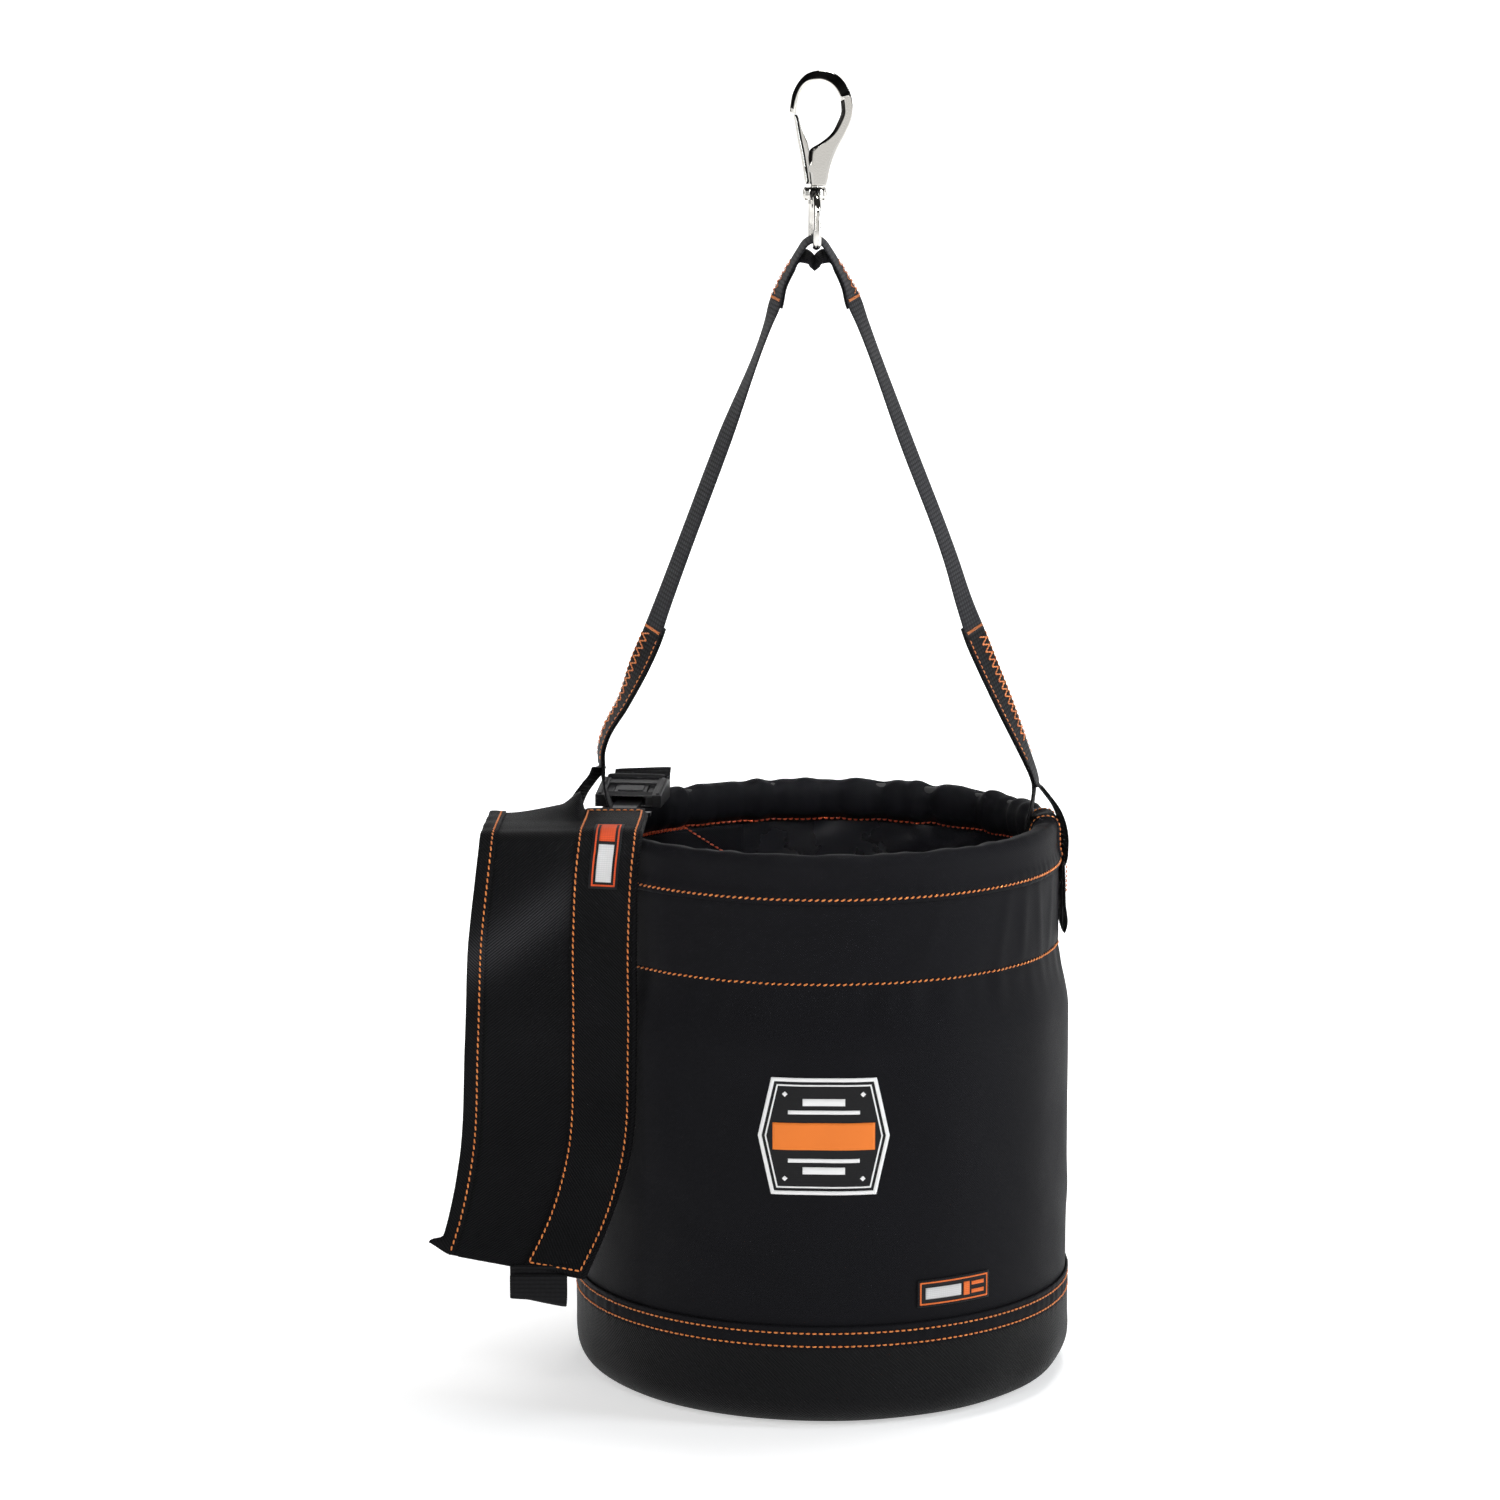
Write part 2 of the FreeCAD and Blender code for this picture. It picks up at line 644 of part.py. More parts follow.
def shelf(low_z, high_z, left, right, far):
    """Level part of the cover between the buckle and the fold."""
    return box((left, FOLD_Y + FOLD_RADIUS + 0.4, low_z), (right, far, high_z))


def cover_top_panel():
    return shelf(FOLD_Z - 2.4, BAR_TOP, COVER_LEFT, COVER_RIGHT, -25.0)


def cover_top_strip():
    low = BAR_TOP + 0.1
    return shelf(low, low + WEB_THICK, -156.5, -156.5 + STRIP_WIDE, -15.0)


def cover_end_loop():
    """Folded end of the strip's webbing below the cover's lower edge."""
    start = drape()[-1][4] - 5
    end, low = start + STRIP_WIDE - 3, END_Z - 13.0
    loop = box((start, END_Y - END_HALF, low), (end, END_Y + END_HALF, END_Z))
    rounded = [e for e in loop.Edges if e.BoundBox.ZMax < low + 1 and e.BoundBox.YLength < 1]
    loop = loop.makeFillet(1.6, rounded).fuse(rod(END_HALF, (start, END_Y, END_Z), (end, END_Y, END_Z)))
    gap = box((start - 1, END_Y - 0.9, low + 3), (end + 1, END_Y + 0.9, END_Z - 2))
    return loop.cut(gap).removeSplitter()


def anchor_tab():
    """Folded webbing tab that hangs under the hem at the right."""
    low = 285.0
    tab = box((TAB_X - 1.7, -STRIP_WIDE / 2, low), (TAB_X + 1.7, STRIP_WIDE / 2, TAB_TOP))
    roll = rod(1.7, (TAB_X, -STRIP_WIDE / 2, TAB_TOP), (TAB_X, STRIP_WIDE / 2, TAB_TOP))
    rounded = [e for e in tab.Edges if e.BoundBox.ZMax < low + 1 and e.BoundBox.XLength < 1]
    return tab.makeFillet(1.5, rounded).fuse(roll).removeSplitter()


NODES = {
    "outer_wall": outer_wall, "inner_lining": inner_lining, "bottom_boot": bottom_boot,
    "bottom_panel": bottom_panel, "base_stiffener": base_stiffener, "rim_hem": rim_hem,
    "rim_hoop": rim_hoop, "emblem_patch": emblem_patch, "front_label": front_label,
    "inner_patch": inner_patch, "handle_webbing": handle_webbing, "crown_keeper": crown_keeper,
    "swivel_eye": swivel_eye, "hook_body": hook_body, "swivel_stud": swivel_stud,
    "gate_lever": gate_lever, "gate_pin": gate_pin, "gate_spring": gate_spring,
    "buckle_body": buckle_body, "release_button": release_button,
    "button_springs": button_springs, "buckle_tongue": buckle_tongue,
    "buckle_anchor_webbing": buckle_anchor_webbing, "buckle_webbing_tail": buckle_webbing_tail,
    "cover_wing_left": cover_wing_left, "cover_wing_right": cover_wing_right,
    "cover_strip": cover_strip, "cover_label": cover_label, "cover_fold_roll": cover_fold_roll,
    "cover_top_panel": cover_top_panel, "cover_top_strip": cover_top_strip,
    "cover_end_loop": cover_end_loop, "anchor_tab": anchor_tab,
}
SIDED_NODES = {"rim_saddle": rim_saddle, "rim_loop": rim_loop, "handle_doubler": handle_doubler}


def export(name, shape):
    if not shape.isValid() or shape.Volume <= 0:
        print("check", name, shape.isValid(), round(shape.Volume, 2))
    shape.exportStep(f"parts/{name}.step")


def main():
    os.makedirs("parts", exist_ok=True)
    for name, make in NODES.items():
        export(name, make())
    for name, make in SIDED_NODES.items():
        for side in ("left", "right"):
            export(f"{name}_{side}", make(side))


main()
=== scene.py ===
import math

import bpy
import numpy as np
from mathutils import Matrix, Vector


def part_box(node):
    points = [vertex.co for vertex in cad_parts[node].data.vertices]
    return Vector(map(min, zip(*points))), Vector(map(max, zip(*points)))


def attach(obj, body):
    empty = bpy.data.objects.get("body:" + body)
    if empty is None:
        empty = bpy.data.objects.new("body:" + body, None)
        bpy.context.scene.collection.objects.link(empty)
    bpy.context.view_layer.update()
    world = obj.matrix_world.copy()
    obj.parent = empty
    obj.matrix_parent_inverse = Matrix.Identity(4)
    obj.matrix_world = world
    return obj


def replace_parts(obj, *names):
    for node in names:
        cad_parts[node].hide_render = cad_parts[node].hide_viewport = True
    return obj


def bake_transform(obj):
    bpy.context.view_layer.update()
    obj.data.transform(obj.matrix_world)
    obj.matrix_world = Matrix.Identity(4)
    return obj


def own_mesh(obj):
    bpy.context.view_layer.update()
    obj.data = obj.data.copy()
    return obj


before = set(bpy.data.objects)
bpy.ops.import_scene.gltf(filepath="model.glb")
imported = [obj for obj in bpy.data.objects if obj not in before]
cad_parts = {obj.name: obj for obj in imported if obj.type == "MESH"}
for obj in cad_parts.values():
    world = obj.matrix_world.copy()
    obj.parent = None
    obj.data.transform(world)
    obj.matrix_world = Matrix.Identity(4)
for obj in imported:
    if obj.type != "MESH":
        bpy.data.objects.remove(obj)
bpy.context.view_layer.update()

# ---- sizes, in metres

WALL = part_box("outer_wall")[1].x          # outside radius below the shoulder
NECK = 0.1512                             # and above it
SHOULDER = (0.236, 0.281)
WALL_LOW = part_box("outer_wall")[0].z
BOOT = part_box("bottom_boot")[1].x
BOOT_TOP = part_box("bottom_boot")[1].z
BOOT_CORNER = 0.023
BOOT_SEAMS = (0.0535, 0.0618)
UPPER_SEAM = 0.2798
HEM_SEAM = 0.3329
FRONT = -math.pi / 2                      # the side of the shell that faces -Y

WEB_WIDE = 0.0254
WEB_THICK = 0.0016
BAND_WIDE = 0.038
CLOTH = 0.001
PITCH = 0.004                             # from one stitch to the next
CROWN_X = -0.0062                         # middle of the handle's crown
WALL_TOP = 0.3335
LINING_GAP = 0.0026
PANEL = 0.0003                            # thickness of a printed or woven panel
BUCKLE_WEB = 0.0375                       # width of the webbing at the buckle
END_WEB = 0.0355                          # and of the folded end below the cover

rng = np.random.default_rng(11)


# ---- curves and waves

def ease(value, low, high):
    """0 below low, 1 above high, and smooth between them."""
    share = np.clip((value - low) / (high - low), 0, 1)
    return share * share * (3 - 2 * share)


def hump(value, middle, half):
    return np.exp(-((value - middle) / half) ** 2)


def unit(vectors):
    return vectors / np.maximum(np.linalg.norm(vectors, axis=-1, keepdims=True), 1e-12)


def through(stations, step, space=3, closed=False):
    """Rows at even steps on a smooth curve through stations, measured on their first values."""
    p = np.array(stations, float)
    if closed:
        p = np.vstack([p[-1:], p, p[:2]])
    gap = np.linalg.norm(np.diff(p[:, :space], axis=0), axis=1)[:, None]
    slope = np.diff(p, axis=0) / gap
    inner = (slope[1:] * gap[:-1] + slope[:-1] * gap[1:]) / (gap[1:] + gap[:-1])
    way = np.vstack([slope[:1], inner, slope[-1:]])
    if closed:
        p, way, gap = p[1:-1], way[1:-1], gap[1:-1]
    t = np.linspace(0, 1, 30, endpoint=False)[:, None]
    parts = []
    for a, b, wa, wb, g in zip(p, p[1:], way, way[1:], gap):
        parts.append((1 + 2 * t) * (1 - t) ** 2 * a + t * (1 - t) ** 2 * g * wa
                     + t * t * (3 - 2 * t) * b + t * t * (t - 1) * g * wb)
    dense = np.vstack(parts + [p[-1:]])
    rows = resampled(dense, step, space)
    return rows[:-1] if closed else rows


def resampled(dense, step, space=3):
    moved = np.linalg.norm(np.diff(dense[:, :space], axis=0), axis=1)
    gone = np.concatenate([[0], np.cumsum(moved)])
    at = np.linspace(0, gone[-1], max(2, int(round(gone[-1] / step)) + 1))
    return np.stack([np.interp(at, gone, column) for column in dense.T], axis=1)


def waves(turn, low, high, count):
    """Irregular ripple round the rim: waves of low to high turns each, of unit size overall."""
    total = np.zeros_like(turn)
    for _ in range(count):
        total += np.sin(rng.integers(low, high) * turn + rng.uniform(0, 2 * math.pi))
    return total / math.sqrt(count)


def xyz(x, y, z):
    """Points from coordinates that are spread to one shape."""
    return np.stack(np.broadcast_arrays(x, y, z), axis=-1)


def around(radius, turn, z):
    return xyz(radius * np.cos(turn), radius * np.sin(turn), z)


def settle(piece, body, slot, *replaced):
    """Attach a piece to its body, and hide the CAD nodes that it stands for. The slot argument is not used.
    """
    if replaced:
        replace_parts(piece, *replaced)
    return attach(piece, body)


# ---- meshes

def build(name, points, faces, uvs, finish):
    mesh = bpy.data.meshes.new(name)
    mesh.from_pydata(np.asarray(points, float).reshape(-1, 3).tolist(), [], faces)
    layer = mesh.uv_layers.new(name="cloth")
    layer.data.foreach_set("uv", np.asarray(uvs, np.float32).ravel())
    mesh.shade_smooth()
    mesh.materials.append(finish)
    piece = bpy.data.objects.new(name, mesh)
    bpy.context.scene.collection.objects.link(piece)
    return piece


def quads(rows, cols, closed=False, wrap=False):
    """Corner indices of a grid's quads, as (row, column) pairs that may run one past the end."""
    r, c = np.meshgrid(np.arange(rows - (not wrap)), np.arange(cols - (not closed)), indexing="ij")
    r, c = r.ravel(), c.ravel()
    return [(r, c), (r, c + 1), (r + 1, c + 1), (r + 1, c)]


def surface(name, points, uv, finish, closed=False, wrap=False, caps=False):
    """Grid of quads. uv is in metres, with one more column or row where the grid closes."""
    rows, cols = points.shape[:2]
    corners = quads(rows, cols, closed, wrap)
    faces = np.stack([(r % rows) * cols + c % cols for r, c in corners], axis=1).tolist()
    uvs = np.stack([uv[r, c] for r, c in corners], axis=1).reshape(-1, 2)
    if caps:
        for row, order in ((0, 1), (rows - 1, -1)):
            ring = list(range(cols))[::-order]
            faces.append([row * cols + c for c in ring])
            uvs = np.vstack([uvs, uv[row, ring]])
    return build(name, points, faces, uvs, finish)


def repaint(piece, finish, picked):
    """Second material on the picked faces of a grid; its caps keep the first."""
    piece.data.materials.append(finish)
    index = np.zeros(len(piece.data.polygons), np.int32)
    index[:picked.size] = picked.ravel()
    piece.data.polygons.foreach_set("material_index", index)


def grid_uv(along, across):
    v, u = np.meshgrid(along, across, indexing="ij")
    return np.stack([u, v], axis=-1)


def lengths(points):
    moved = np.linalg.norm(np.diff(points, axis=0), axis=1)
    return np.concatenate([[0], np.cumsum(moved)])


def thicken(piece, thick, offset=-1.0):
    layer = piece.modifiers.new("thickness", "SOLIDIFY")
    layer.thickness, layer.offset = thick, offset
    return piece


def frame_along(middle, across):
    """Unit directions across a band and out of its outer face."""
    way = unit(np.gradient(middle, axis=0))
    across = np.broadcast_to(np.asarray(across, float), middle.shape)
    across = unit(across - np.sum(across * way, axis=1, keepdims=True) * way)
    return across, np.cross(way, across)


def ribbon(name, middle, across, finish, wide=WEB_WIDE, thick=WEB_THICK, edge=6.0):
    """Webbing with soft edges along a middle line."""
    across, out = frame_along(middle, across)
    u = np.sin(np.linspace(-1, 1, 11) * math.pi / 2)
    half = thick / 2 * np.sqrt(1 - np.abs(u) ** edge)
    ring = np.concatenate([np.stack([u, half], 1)[::-1], np.stack([u, -half], 1)[1:-1]])
    points = (middle[:, None] + across[:, None] * ring[None, :, :1] * wide / 2
              + out[:, None] * ring[None, :, 1:])
    girth = lengths(np.vstack([ring * [wide / 2, 1], ring[:1] * [wide / 2, 1]]))
    uv = grid_uv(lengths(middle), girth)
    return surface(name, points, uv, finish, closed=True, caps=True)


def stitches(name, line, out, finish, pitch=PITCH, wide=0.0011, share=0.8, lean=0.0, lift=0.0003):
    """A row of sewn stitches: short humped threads that dip into the cloth at both ends."""
    line, out = np.asarray(line, float), np.asarray(out, float)
    rows = resampled(np.hstack([line, out]), pitch)
    middle = (rows[1:, :3] + rows[:-1, :3]) / 2
    way = unit(rows[1:, :3] - rows[:-1, :3])
    out = unit((rows[1:, 3:] + rows[:-1, 3:]) / 2)
    side = np.cross(out, way)
    way = unit(way + side * math.tan(lean))
    side = np.cross(out, way)
    s = np.linspace(-1, 1, 7)
    swell = np.sqrt(np.clip(1 - s ** 4, 0.05, 1))
    sunk = lift * (1 - 2.4 * s ** 4)
    angle = np.arange(6) * math.pi / 3
    length = np.linalg.norm(rows[1:, :3] - rows[:-1, :3], axis=1)[:, None, None, None] * share / 2
    spine = (middle[:, None, None] + way[:, None, None] * s[None, :, None, None] * length
             + out[:, None, None] * sunk[None, :, None, None])
    ring = (side[:, None, None] * np.cos(angle)[None, None, :, None]
            + out[:, None, None] * np.sin(angle)[None, None, :, None] * 0.8)
    points = spine + ring * swell[None, :, None, None] * wide / 2
    count, uvs, faces = len(middle), [], []
    cells = quads(len(s), len(angle), closed=True)
    one = np.stack([r * len(angle) + c % len(angle) for r, c in cells], axis=1)
    one_uv = np.stack([np.stack([c / 6.0, s[np.minimum(r, 6)] / 2], axis=1) for r, c in cells], axis=1)
    for k in range(count):
        faces += (one + k * len(s) * len(angle)).tolist()
        uvs.append(one_uv.reshape(-1, 2) + [0, 2 * k + 0.5])
    return build(name, points, faces, np.vstack(uvs), finish)


# ---- materials

def add(mat, kind, inputs=None, **settings):
    node = mat.node_tree.nodes.new("ShaderNode" + kind)
    for key, value in settings.items():
        setattr(node, key, value)
    for key, value in (inputs or {}).items():
        if isinstance(value, bpy.types.NodeSocket):
            mat.node_tree.links.new(value, node.inputs[key])
        else:
            node.inputs[key].default_value = value
    return node


def maths(mat, operation, a, b=0.0, c=0.0):
    return add(mat, "Math", {0: a, 1: b, 2: c}, operation=operation).outputs[0]


def blend_colours(mat, share, low, high):
    node = add(mat, "Mix", {0: share}, data_type="RGBA")
    for socket, colour in ((node.inputs[6], low), (node.inputs[7], high)):
        if isinstance(colour, bpy.types.NodeSocket):
            mat.node_tree.links.new(colour, socket)
        else:
            socket.default_value = (*colour, 1)
    return node.outputs[2]


def noise(mat, scale, detail=3.0):
    where = add(mat, "TexCoord").outputs["Object"]
    return add(mat, "TexNoise", {"Vector": where, "Scale": scale, "Detail": detail}).outputs["Fac"]


def plain(name, rough, metallic=0.0, specular=0.5, sheen=0.0):
    mat = bpy.data.materials.new(name)
    mat.use_nodes = True
    shader = mat.node_tree.nodes["Principled BSDF"]
    for socket, value in (("Roughness", rough), ("Metallic", metallic), ("Specular IOR Level", specular),
                          ("Sheen Weight", sheen), ("Sheen Roughness", 0.4)):
        shader.inputs[socket].default_value = value
    return mat, shader


def finish_with(mat, shader, colour, roughness, height, depth):
    links = mat.node_tree.links
    links.new(colour, shader.inputs["Base Color"])
    links.new(roughness, shader.inputs["Roughness"])
    bump = add(mat, "Bump", {"Height": height, "Strength": 1.0, "Distance": depth})
    links.new(bump.outputs[0], shader.inputs["Normal"])
    return mat


def weave_height(mat, kind, pitch):
    """Height of the threads of a cloth, from 0 to 1, over its own width and length."""
    place = add(mat, "SeparateXYZ", {0: add(mat, "UVMap", uv_map="cloth").outputs[0]})
    per_metre = 2 * math.pi / pitch
    a = maths(mat, "MULTIPLY", place.outputs[0], per_metre)
    b = maths(mat, "MULTIPLY", place.outputs[1], per_metre)
    if kind == "plain":
        product = maths(mat, "MULTIPLY", maths(mat, "SINE", a), maths(mat, "SINE", b))
        return maths(mat, "MULTIPLY_ADD", product, 0.5, 0.5)
    if kind == "twill":
        slant = maths(mat, "SINE", maths(mat, "ADD", a, b))
        thread = maths(mat, "SINE", maths(mat, "MULTIPLY", maths(mat, "SUBTRACT", a, b), 2.0))
        mixed = maths(mat, "MULTIPLY_ADD", slant, 0.36, 0.5)
        return maths(mat, "MULTIPLY_ADD", thread, 0.14, mixed)
    rib = maths(mat, "ABSOLUTE", maths(mat, "SINE", maths(mat, "MULTIPLY", b, 0.5)))
    thread = maths(mat, "MULTIPLY_ADD", maths(mat, "SINE", maths(mat, "MULTIPLY", a, 0.8)), 0.2, 0.8)
    return maths(mat, "MULTIPLY", rib, thread)


def scaled(colour, share):
    return tuple(c * share for c in colour)


def cloth(name, colour, rough, kind, pitch, depth, specular=0.2, sheen=0.1, shade=0.3):
    """Woven cloth: thread relief and uneven dye; on twill, a painted sheen tints the threads pale where the
    piece carries a painted_sheen attribute.
    """
    mat, shader = plain(name, rough, specular=specular, sheen=sheen)
    threads = weave_height(mat, kind, pitch)
    patches = noise(mat, 22.0, 4.0)
    fibres = noise(mat, 1500.0, 2.0)
    share = maths(mat, "MULTIPLY_ADD", threads, 0.55, maths(mat, "MULTIPLY", patches, 0.45))
    tone = blend_colours(mat, share, scaled(colour, 1 - shade), scaled(colour, 1 + shade))
    if kind == "twill":
        # Painted sheen: threads tinted towards 5.5 times the cloth's colour where the painted_sheen attribute
        # is high, standing in for a highlight.
        painted_sheen = add(mat, "Attribute", attribute_name="painted_sheen").outputs["Fac"]
        tone = blend_colours(mat, maths(mat, "MULTIPLY", painted_sheen, threads), tone, scaled(colour, 5.5))
    roughness = maths(mat, "MULTIPLY_ADD", patches, 0.22, rough - 0.11)
    height = maths(mat, "MULTIPLY_ADD", fibres, 0.25, threads)
    return finish_with(mat, shader, tone, roughness, height, depth)


def printed(name, colour, shade):
    return cloth(name, colour, 0.6, "plain", pitch=0.0012, depth=0.00006, specular=0.3, sheen=0.0,
                 shade=shade)


def woven(name, colour, shade=0.3):
    return cloth(name, colour, 0.65, "rib", pitch=0.0012, depth=0.00008, sheen=0.05, shade=shade)


def thread(name, deep, pale):
    """Twisted sewing thread whose tone wanders from stitch to stitch, with a painted highlight at the middle
    of each stitch and painted shade at its ends.
    """
    mat, shader = plain(name, 0.5, specular=0.35, sheen=0.2)
    place = add(mat, "SeparateXYZ", {0: add(mat, "UVMap", uv_map="cloth").outputs[0]})
    turn = maths(mat, "MULTIPLY_ADD", place.outputs[1], 26.0, maths(mat, "MULTIPLY", place.outputs[0], 6.283))
    twist = maths(mat, "MULTIPLY_ADD", maths(mat, "SINE", turn), 0.5, 0.5)
    wander = noise(mat, 140.0, 2.0)
    share = maths(mat, "MULTIPLY_ADD", twist, 0.40, maths(mat, "MULTIPLY", wander, 0.8))
    along = maths(mat, "FRACT", place.outputs[1])
    # Painted highlight and shade: each stitch pales towards its middle and keeps the deep colour at both
    # ends, where it dips into the cloth.
    painted_crest_light = maths(mat, "MULTIPLY", maths(mat, "SUBTRACT", 1.0, along), maths(mat, "MULTIPLY", along, 4.0))
    tone = blend_colours(mat, maths(mat, "MULTIPLY", share, painted_crest_light), deep, pale)
    return finish_with(mat, shader, tone, maths(mat, "MULTIPLY_ADD", wander, 0.3, 0.35), twist, 0.00012)


def metal(name, colour, rough):
    mat, shader = plain(name, rough, metallic=1.0)
    smudge = noise(mat, 60.0, 5.0)
    grain = noise(mat, 900.0, 2.0)
    tone = blend_colours(mat, smudge, scaled(colour, 0.94), colour)
    roughness = maths(mat, "MULTIPLY_ADD", smudge, 0.08, rough - 0.03)
    return finish_with(mat, shader, tone, roughness, grain, 0.000006)


def moulded(name, colour, rough):
    """Moulded plastic with a fine spark-eroded texture."""
    mat, shader = plain(name, rough, specular=0.35)
    fine, broad = noise(mat, 900.0), noise(mat, 35.0, 4.0)
    tone = blend_colours(mat, broad, scaled(colour, 0.8), scaled(colour, 1.25))
    roughness = maths(mat, "MULTIPLY_ADD", broad, 0.2, rough - 0.1)
    return finish_with(mat, shader, tone, roughness, fine, 0.00004)


SHELL = cloth("shell_nylon", (0.0062, 0.0062, 0.0076), 0.56, "plain", pitch=0.0016, depth=0.00012,
              specular=0.05, sheen=0.008, shade=0.5)
BOOT_NYLON = cloth("ballistic_nylon", (0.0055, 0.0055, 0.0060), 0.5, "twill", pitch=0.0024, depth=0.00040,
                   specular=0.08, sheen=0.008, shade=0.7)
COVER_NYLON = cloth("cover_twill", (0.0076, 0.0076, 0.0082), 0.50, "twill", pitch=0.0021, depth=0.00036,
                    specular=0.02, sheen=0.006, shade=0.7)
LINING = cloth("coated_lining", (0.0066, 0.0066, 0.0085), 0.27, "plain", pitch=0.0011, depth=0.00006,
               specular=0.8, sheen=0.0)
WEBBING = cloth("ribbed_webbing", (0.0150, 0.0150, 0.0172), 0.66, "rib", pitch=0.0028, depth=0.00045,
                specular=0.12, sheen=0.03, shade=0.85)
DARK_WEBBING = cloth("dark_webbing", (0.0060, 0.0060, 0.0068), 0.62, "rib", pitch=0.0026, depth=0.00035,
                     specular=0.1, sheen=0.02, shade=0.7)
BLACK_WOVEN = cloth("black_woven", (0.006, 0.006, 0.007), 0.6, "rib", pitch=0.0011, depth=0.00006, sheen=0.03)
RED_WOVEN = woven("red_woven", (0.60, 0.07, 0.016))
ORANGE_WOVEN = woven("orange_woven", (0.72, 0.15, 0.03))
GREY_WOVEN = woven("grey_woven", (0.56, 0.56, 0.56), 0.2)
WHITE_PRINT = printed("white_print", (0.80, 0.80, 0.80), 0.06)
ORANGE_PRINT = printed("orange_print", (0.78, 0.19, 0.022), 0.12)
ORANGE = thread("orange_thread", (0.48, 0.070, 0.010), (1.0, 0.38, 0.085))
RED = thread("red_thread", (0.42, 0.035, 0.010), (0.78, 0.13, 0.04))
NICKEL = metal("nickel_plate", (0.69, 0.675, 0.64), 0.08)
# Near-black steel painted where the chrome shows shade or a dark reflection: the hook's slopes, the gate's
# groove and the collar's recesses.
PAINTED_DARK_STEEL = metal("painted_shade_and_dark_reflection", (0.03, 0.029, 0.028), 0.2)
SPRING = metal("spring_steel", (0.50, 0.50, 0.50), 0.25)
BUCKLE = moulded("buckle_plastic", (0.0085, 0.0085, 0.0095), 0.36)
HIDDEN_PLASTIC = moulded("sheet_plastic", (0.03, 0.03, 0.03), 0.5)


# ---- bucket shell

TURNS = np.linspace(0, 2 * math.pi, 420, endpoint=False)
FULL_TURN = np.append(TURNS, 2 * math.pi)
PUCKER = waves(TURNS, 22, 58, 7)
SOFT = waves(TURNS, 5, 17, 5)
TIGHT = waves(TURNS, 70, 130, 8)


def rippled(pattern, turn):
    return np.interp(np.mod(turn, 2 * math.pi), FULL_TURN, np.append(pattern, pattern[0]))


def creases():
    """Slack folds of the shell: turn, height, half length, half width, lean and rise of each."""
    folds = [(math.radians(t), z, 0.026, 0.005, lean, rise) for t, z, lean, rise in (
        (-43, 0.305, 0.22, 0.0008), (-35, 0.303, 0.10, 0.0010), (-27, 0.306, -0.10, 0.0009),
        (-19, 0.304, 0.16, 0.0007), (-64, 0.312, 0.3, 0.0005))]
    for _ in range(34):
        folds.append((rng.uniform(0, 2 * math.pi), rng.uniform(0.09, 0.255), rng.uniform(0.03, 0.07),
                      rng.uniform(0.008, 0.018), rng.uniform(-1.2, 1.2), rng.uniform(-0.0012, 0.0012)))
    return folds


CREASES = creases()


def wall_radius(turn, z):
    """Outside radius of the wall: it narrows at the shoulder and is slack between its seams."""
    radius = WALL + (NECK - WALL) * ease(z, *SHOULDER) - 0.0009 * ease(z, 0.3285, 0.3305)
    radius = radius - 0.0008 * hump(z, UPPER_SEAM, 0.0024)
    radius = radius + 0.0005 * rippled(PUCKER, turn) * hump(z, UPPER_SEAM - 0.008, 0.012)
    radius = radius + 0.0006 * rippled(SOFT, turn) * hump(z, 0.19, 0.09)
    for at, level, long, wide, lean, rise in CREASES:
        across = WALL * (np.mod(turn - at + math.pi, 2 * math.pi) - math.pi)
        run = (z - level) * math.cos(lean) + across * math.sin(lean)
        side = across * math.cos(lean) - (z - level) * math.sin(lean)
        radius = radius + rise * np.exp(-(run / long) ** 2 - (side / wide) ** 2)
    return radius


def on_wall(turn, z, lift=0.0):
    return around(wall_radius(turn, z) + lift, turn, z)


def outwards(turn):
    return around(1, turn, 0)


def make_wall():
    levels = np.linspace(WALL_LOW, WALL_TOP, 112)
    wall = surface("shell_wall", on_wall(TURNS, levels[:, None]), grid_uv(levels, FULL_TURN * WALL), SHELL,
                   closed=True)
    thicken(wall, CLOTH)
    settle(wall, "bucket", "shell_fabric", "outer_wall")


HEM_POINTS = [(0.1515, 0.3292), (0.1520, 0.3345), (0.1506, 0.3400), (0.1501, 0.3480), (0.1498, 0.3545),
              (0.1476, 0.3585), (0.1425, 0.3590), (0.1378, 0.3574), (0.1351, 0.3530), (0.1348, 0.3450),
              (0.1366, 0.3385), (0.1425, 0.3330), (0.1480, 0.3296)]
HEM = through(HEM_POINTS, 0.0018, space=2, closed=True)


def section_normals(section, closed=True):
    if closed:
        way = np.roll(section, -1, axis=0) - np.roll(section, 1, axis=0)
    else:
        way = np.gradient(section, axis=0)
    return unit(np.stack([way[:, 1], -way[:, 0]], axis=1))


def hem_swell(turn, r, z):
    """How far the hem's cloth stands out or in: gathered inside and along the top, calm outside."""
    inside = ease(-r, -0.1475, -0.139)
    back = ease(np.sin(turn), -0.5, 0.4)
    low = hump(z, HEM_SEAM, 0.006) * (1 - inside)
    gathers = 0.0009 * rippled(PUCKER, turn) + 0.0001 * rippled(TIGHT, turn)
    return (inside * gathers * (0.35 + 0.65 * back) + (1 - inside) * 0.0002 * rippled(SOFT, turn)
            + ease(z, 0.352, 0.358) * (0.00012 + 0.0005 * back) * rippled(PUCKER, turn)
            + low * 0.0002 * rippled(TIGHT, turn) - 0.0005 * hump(z, HEM_SEAM, 0.0016) * (1 - inside))


def hem_point(turn, section, normals, lift=0.0):
    r, z = section.T
    swell = hem_swell(turn[:, None], r, z) + lift
    return around(r + normals[:, 0] * swell, turn[:, None], z + normals[:, 1] * swell)


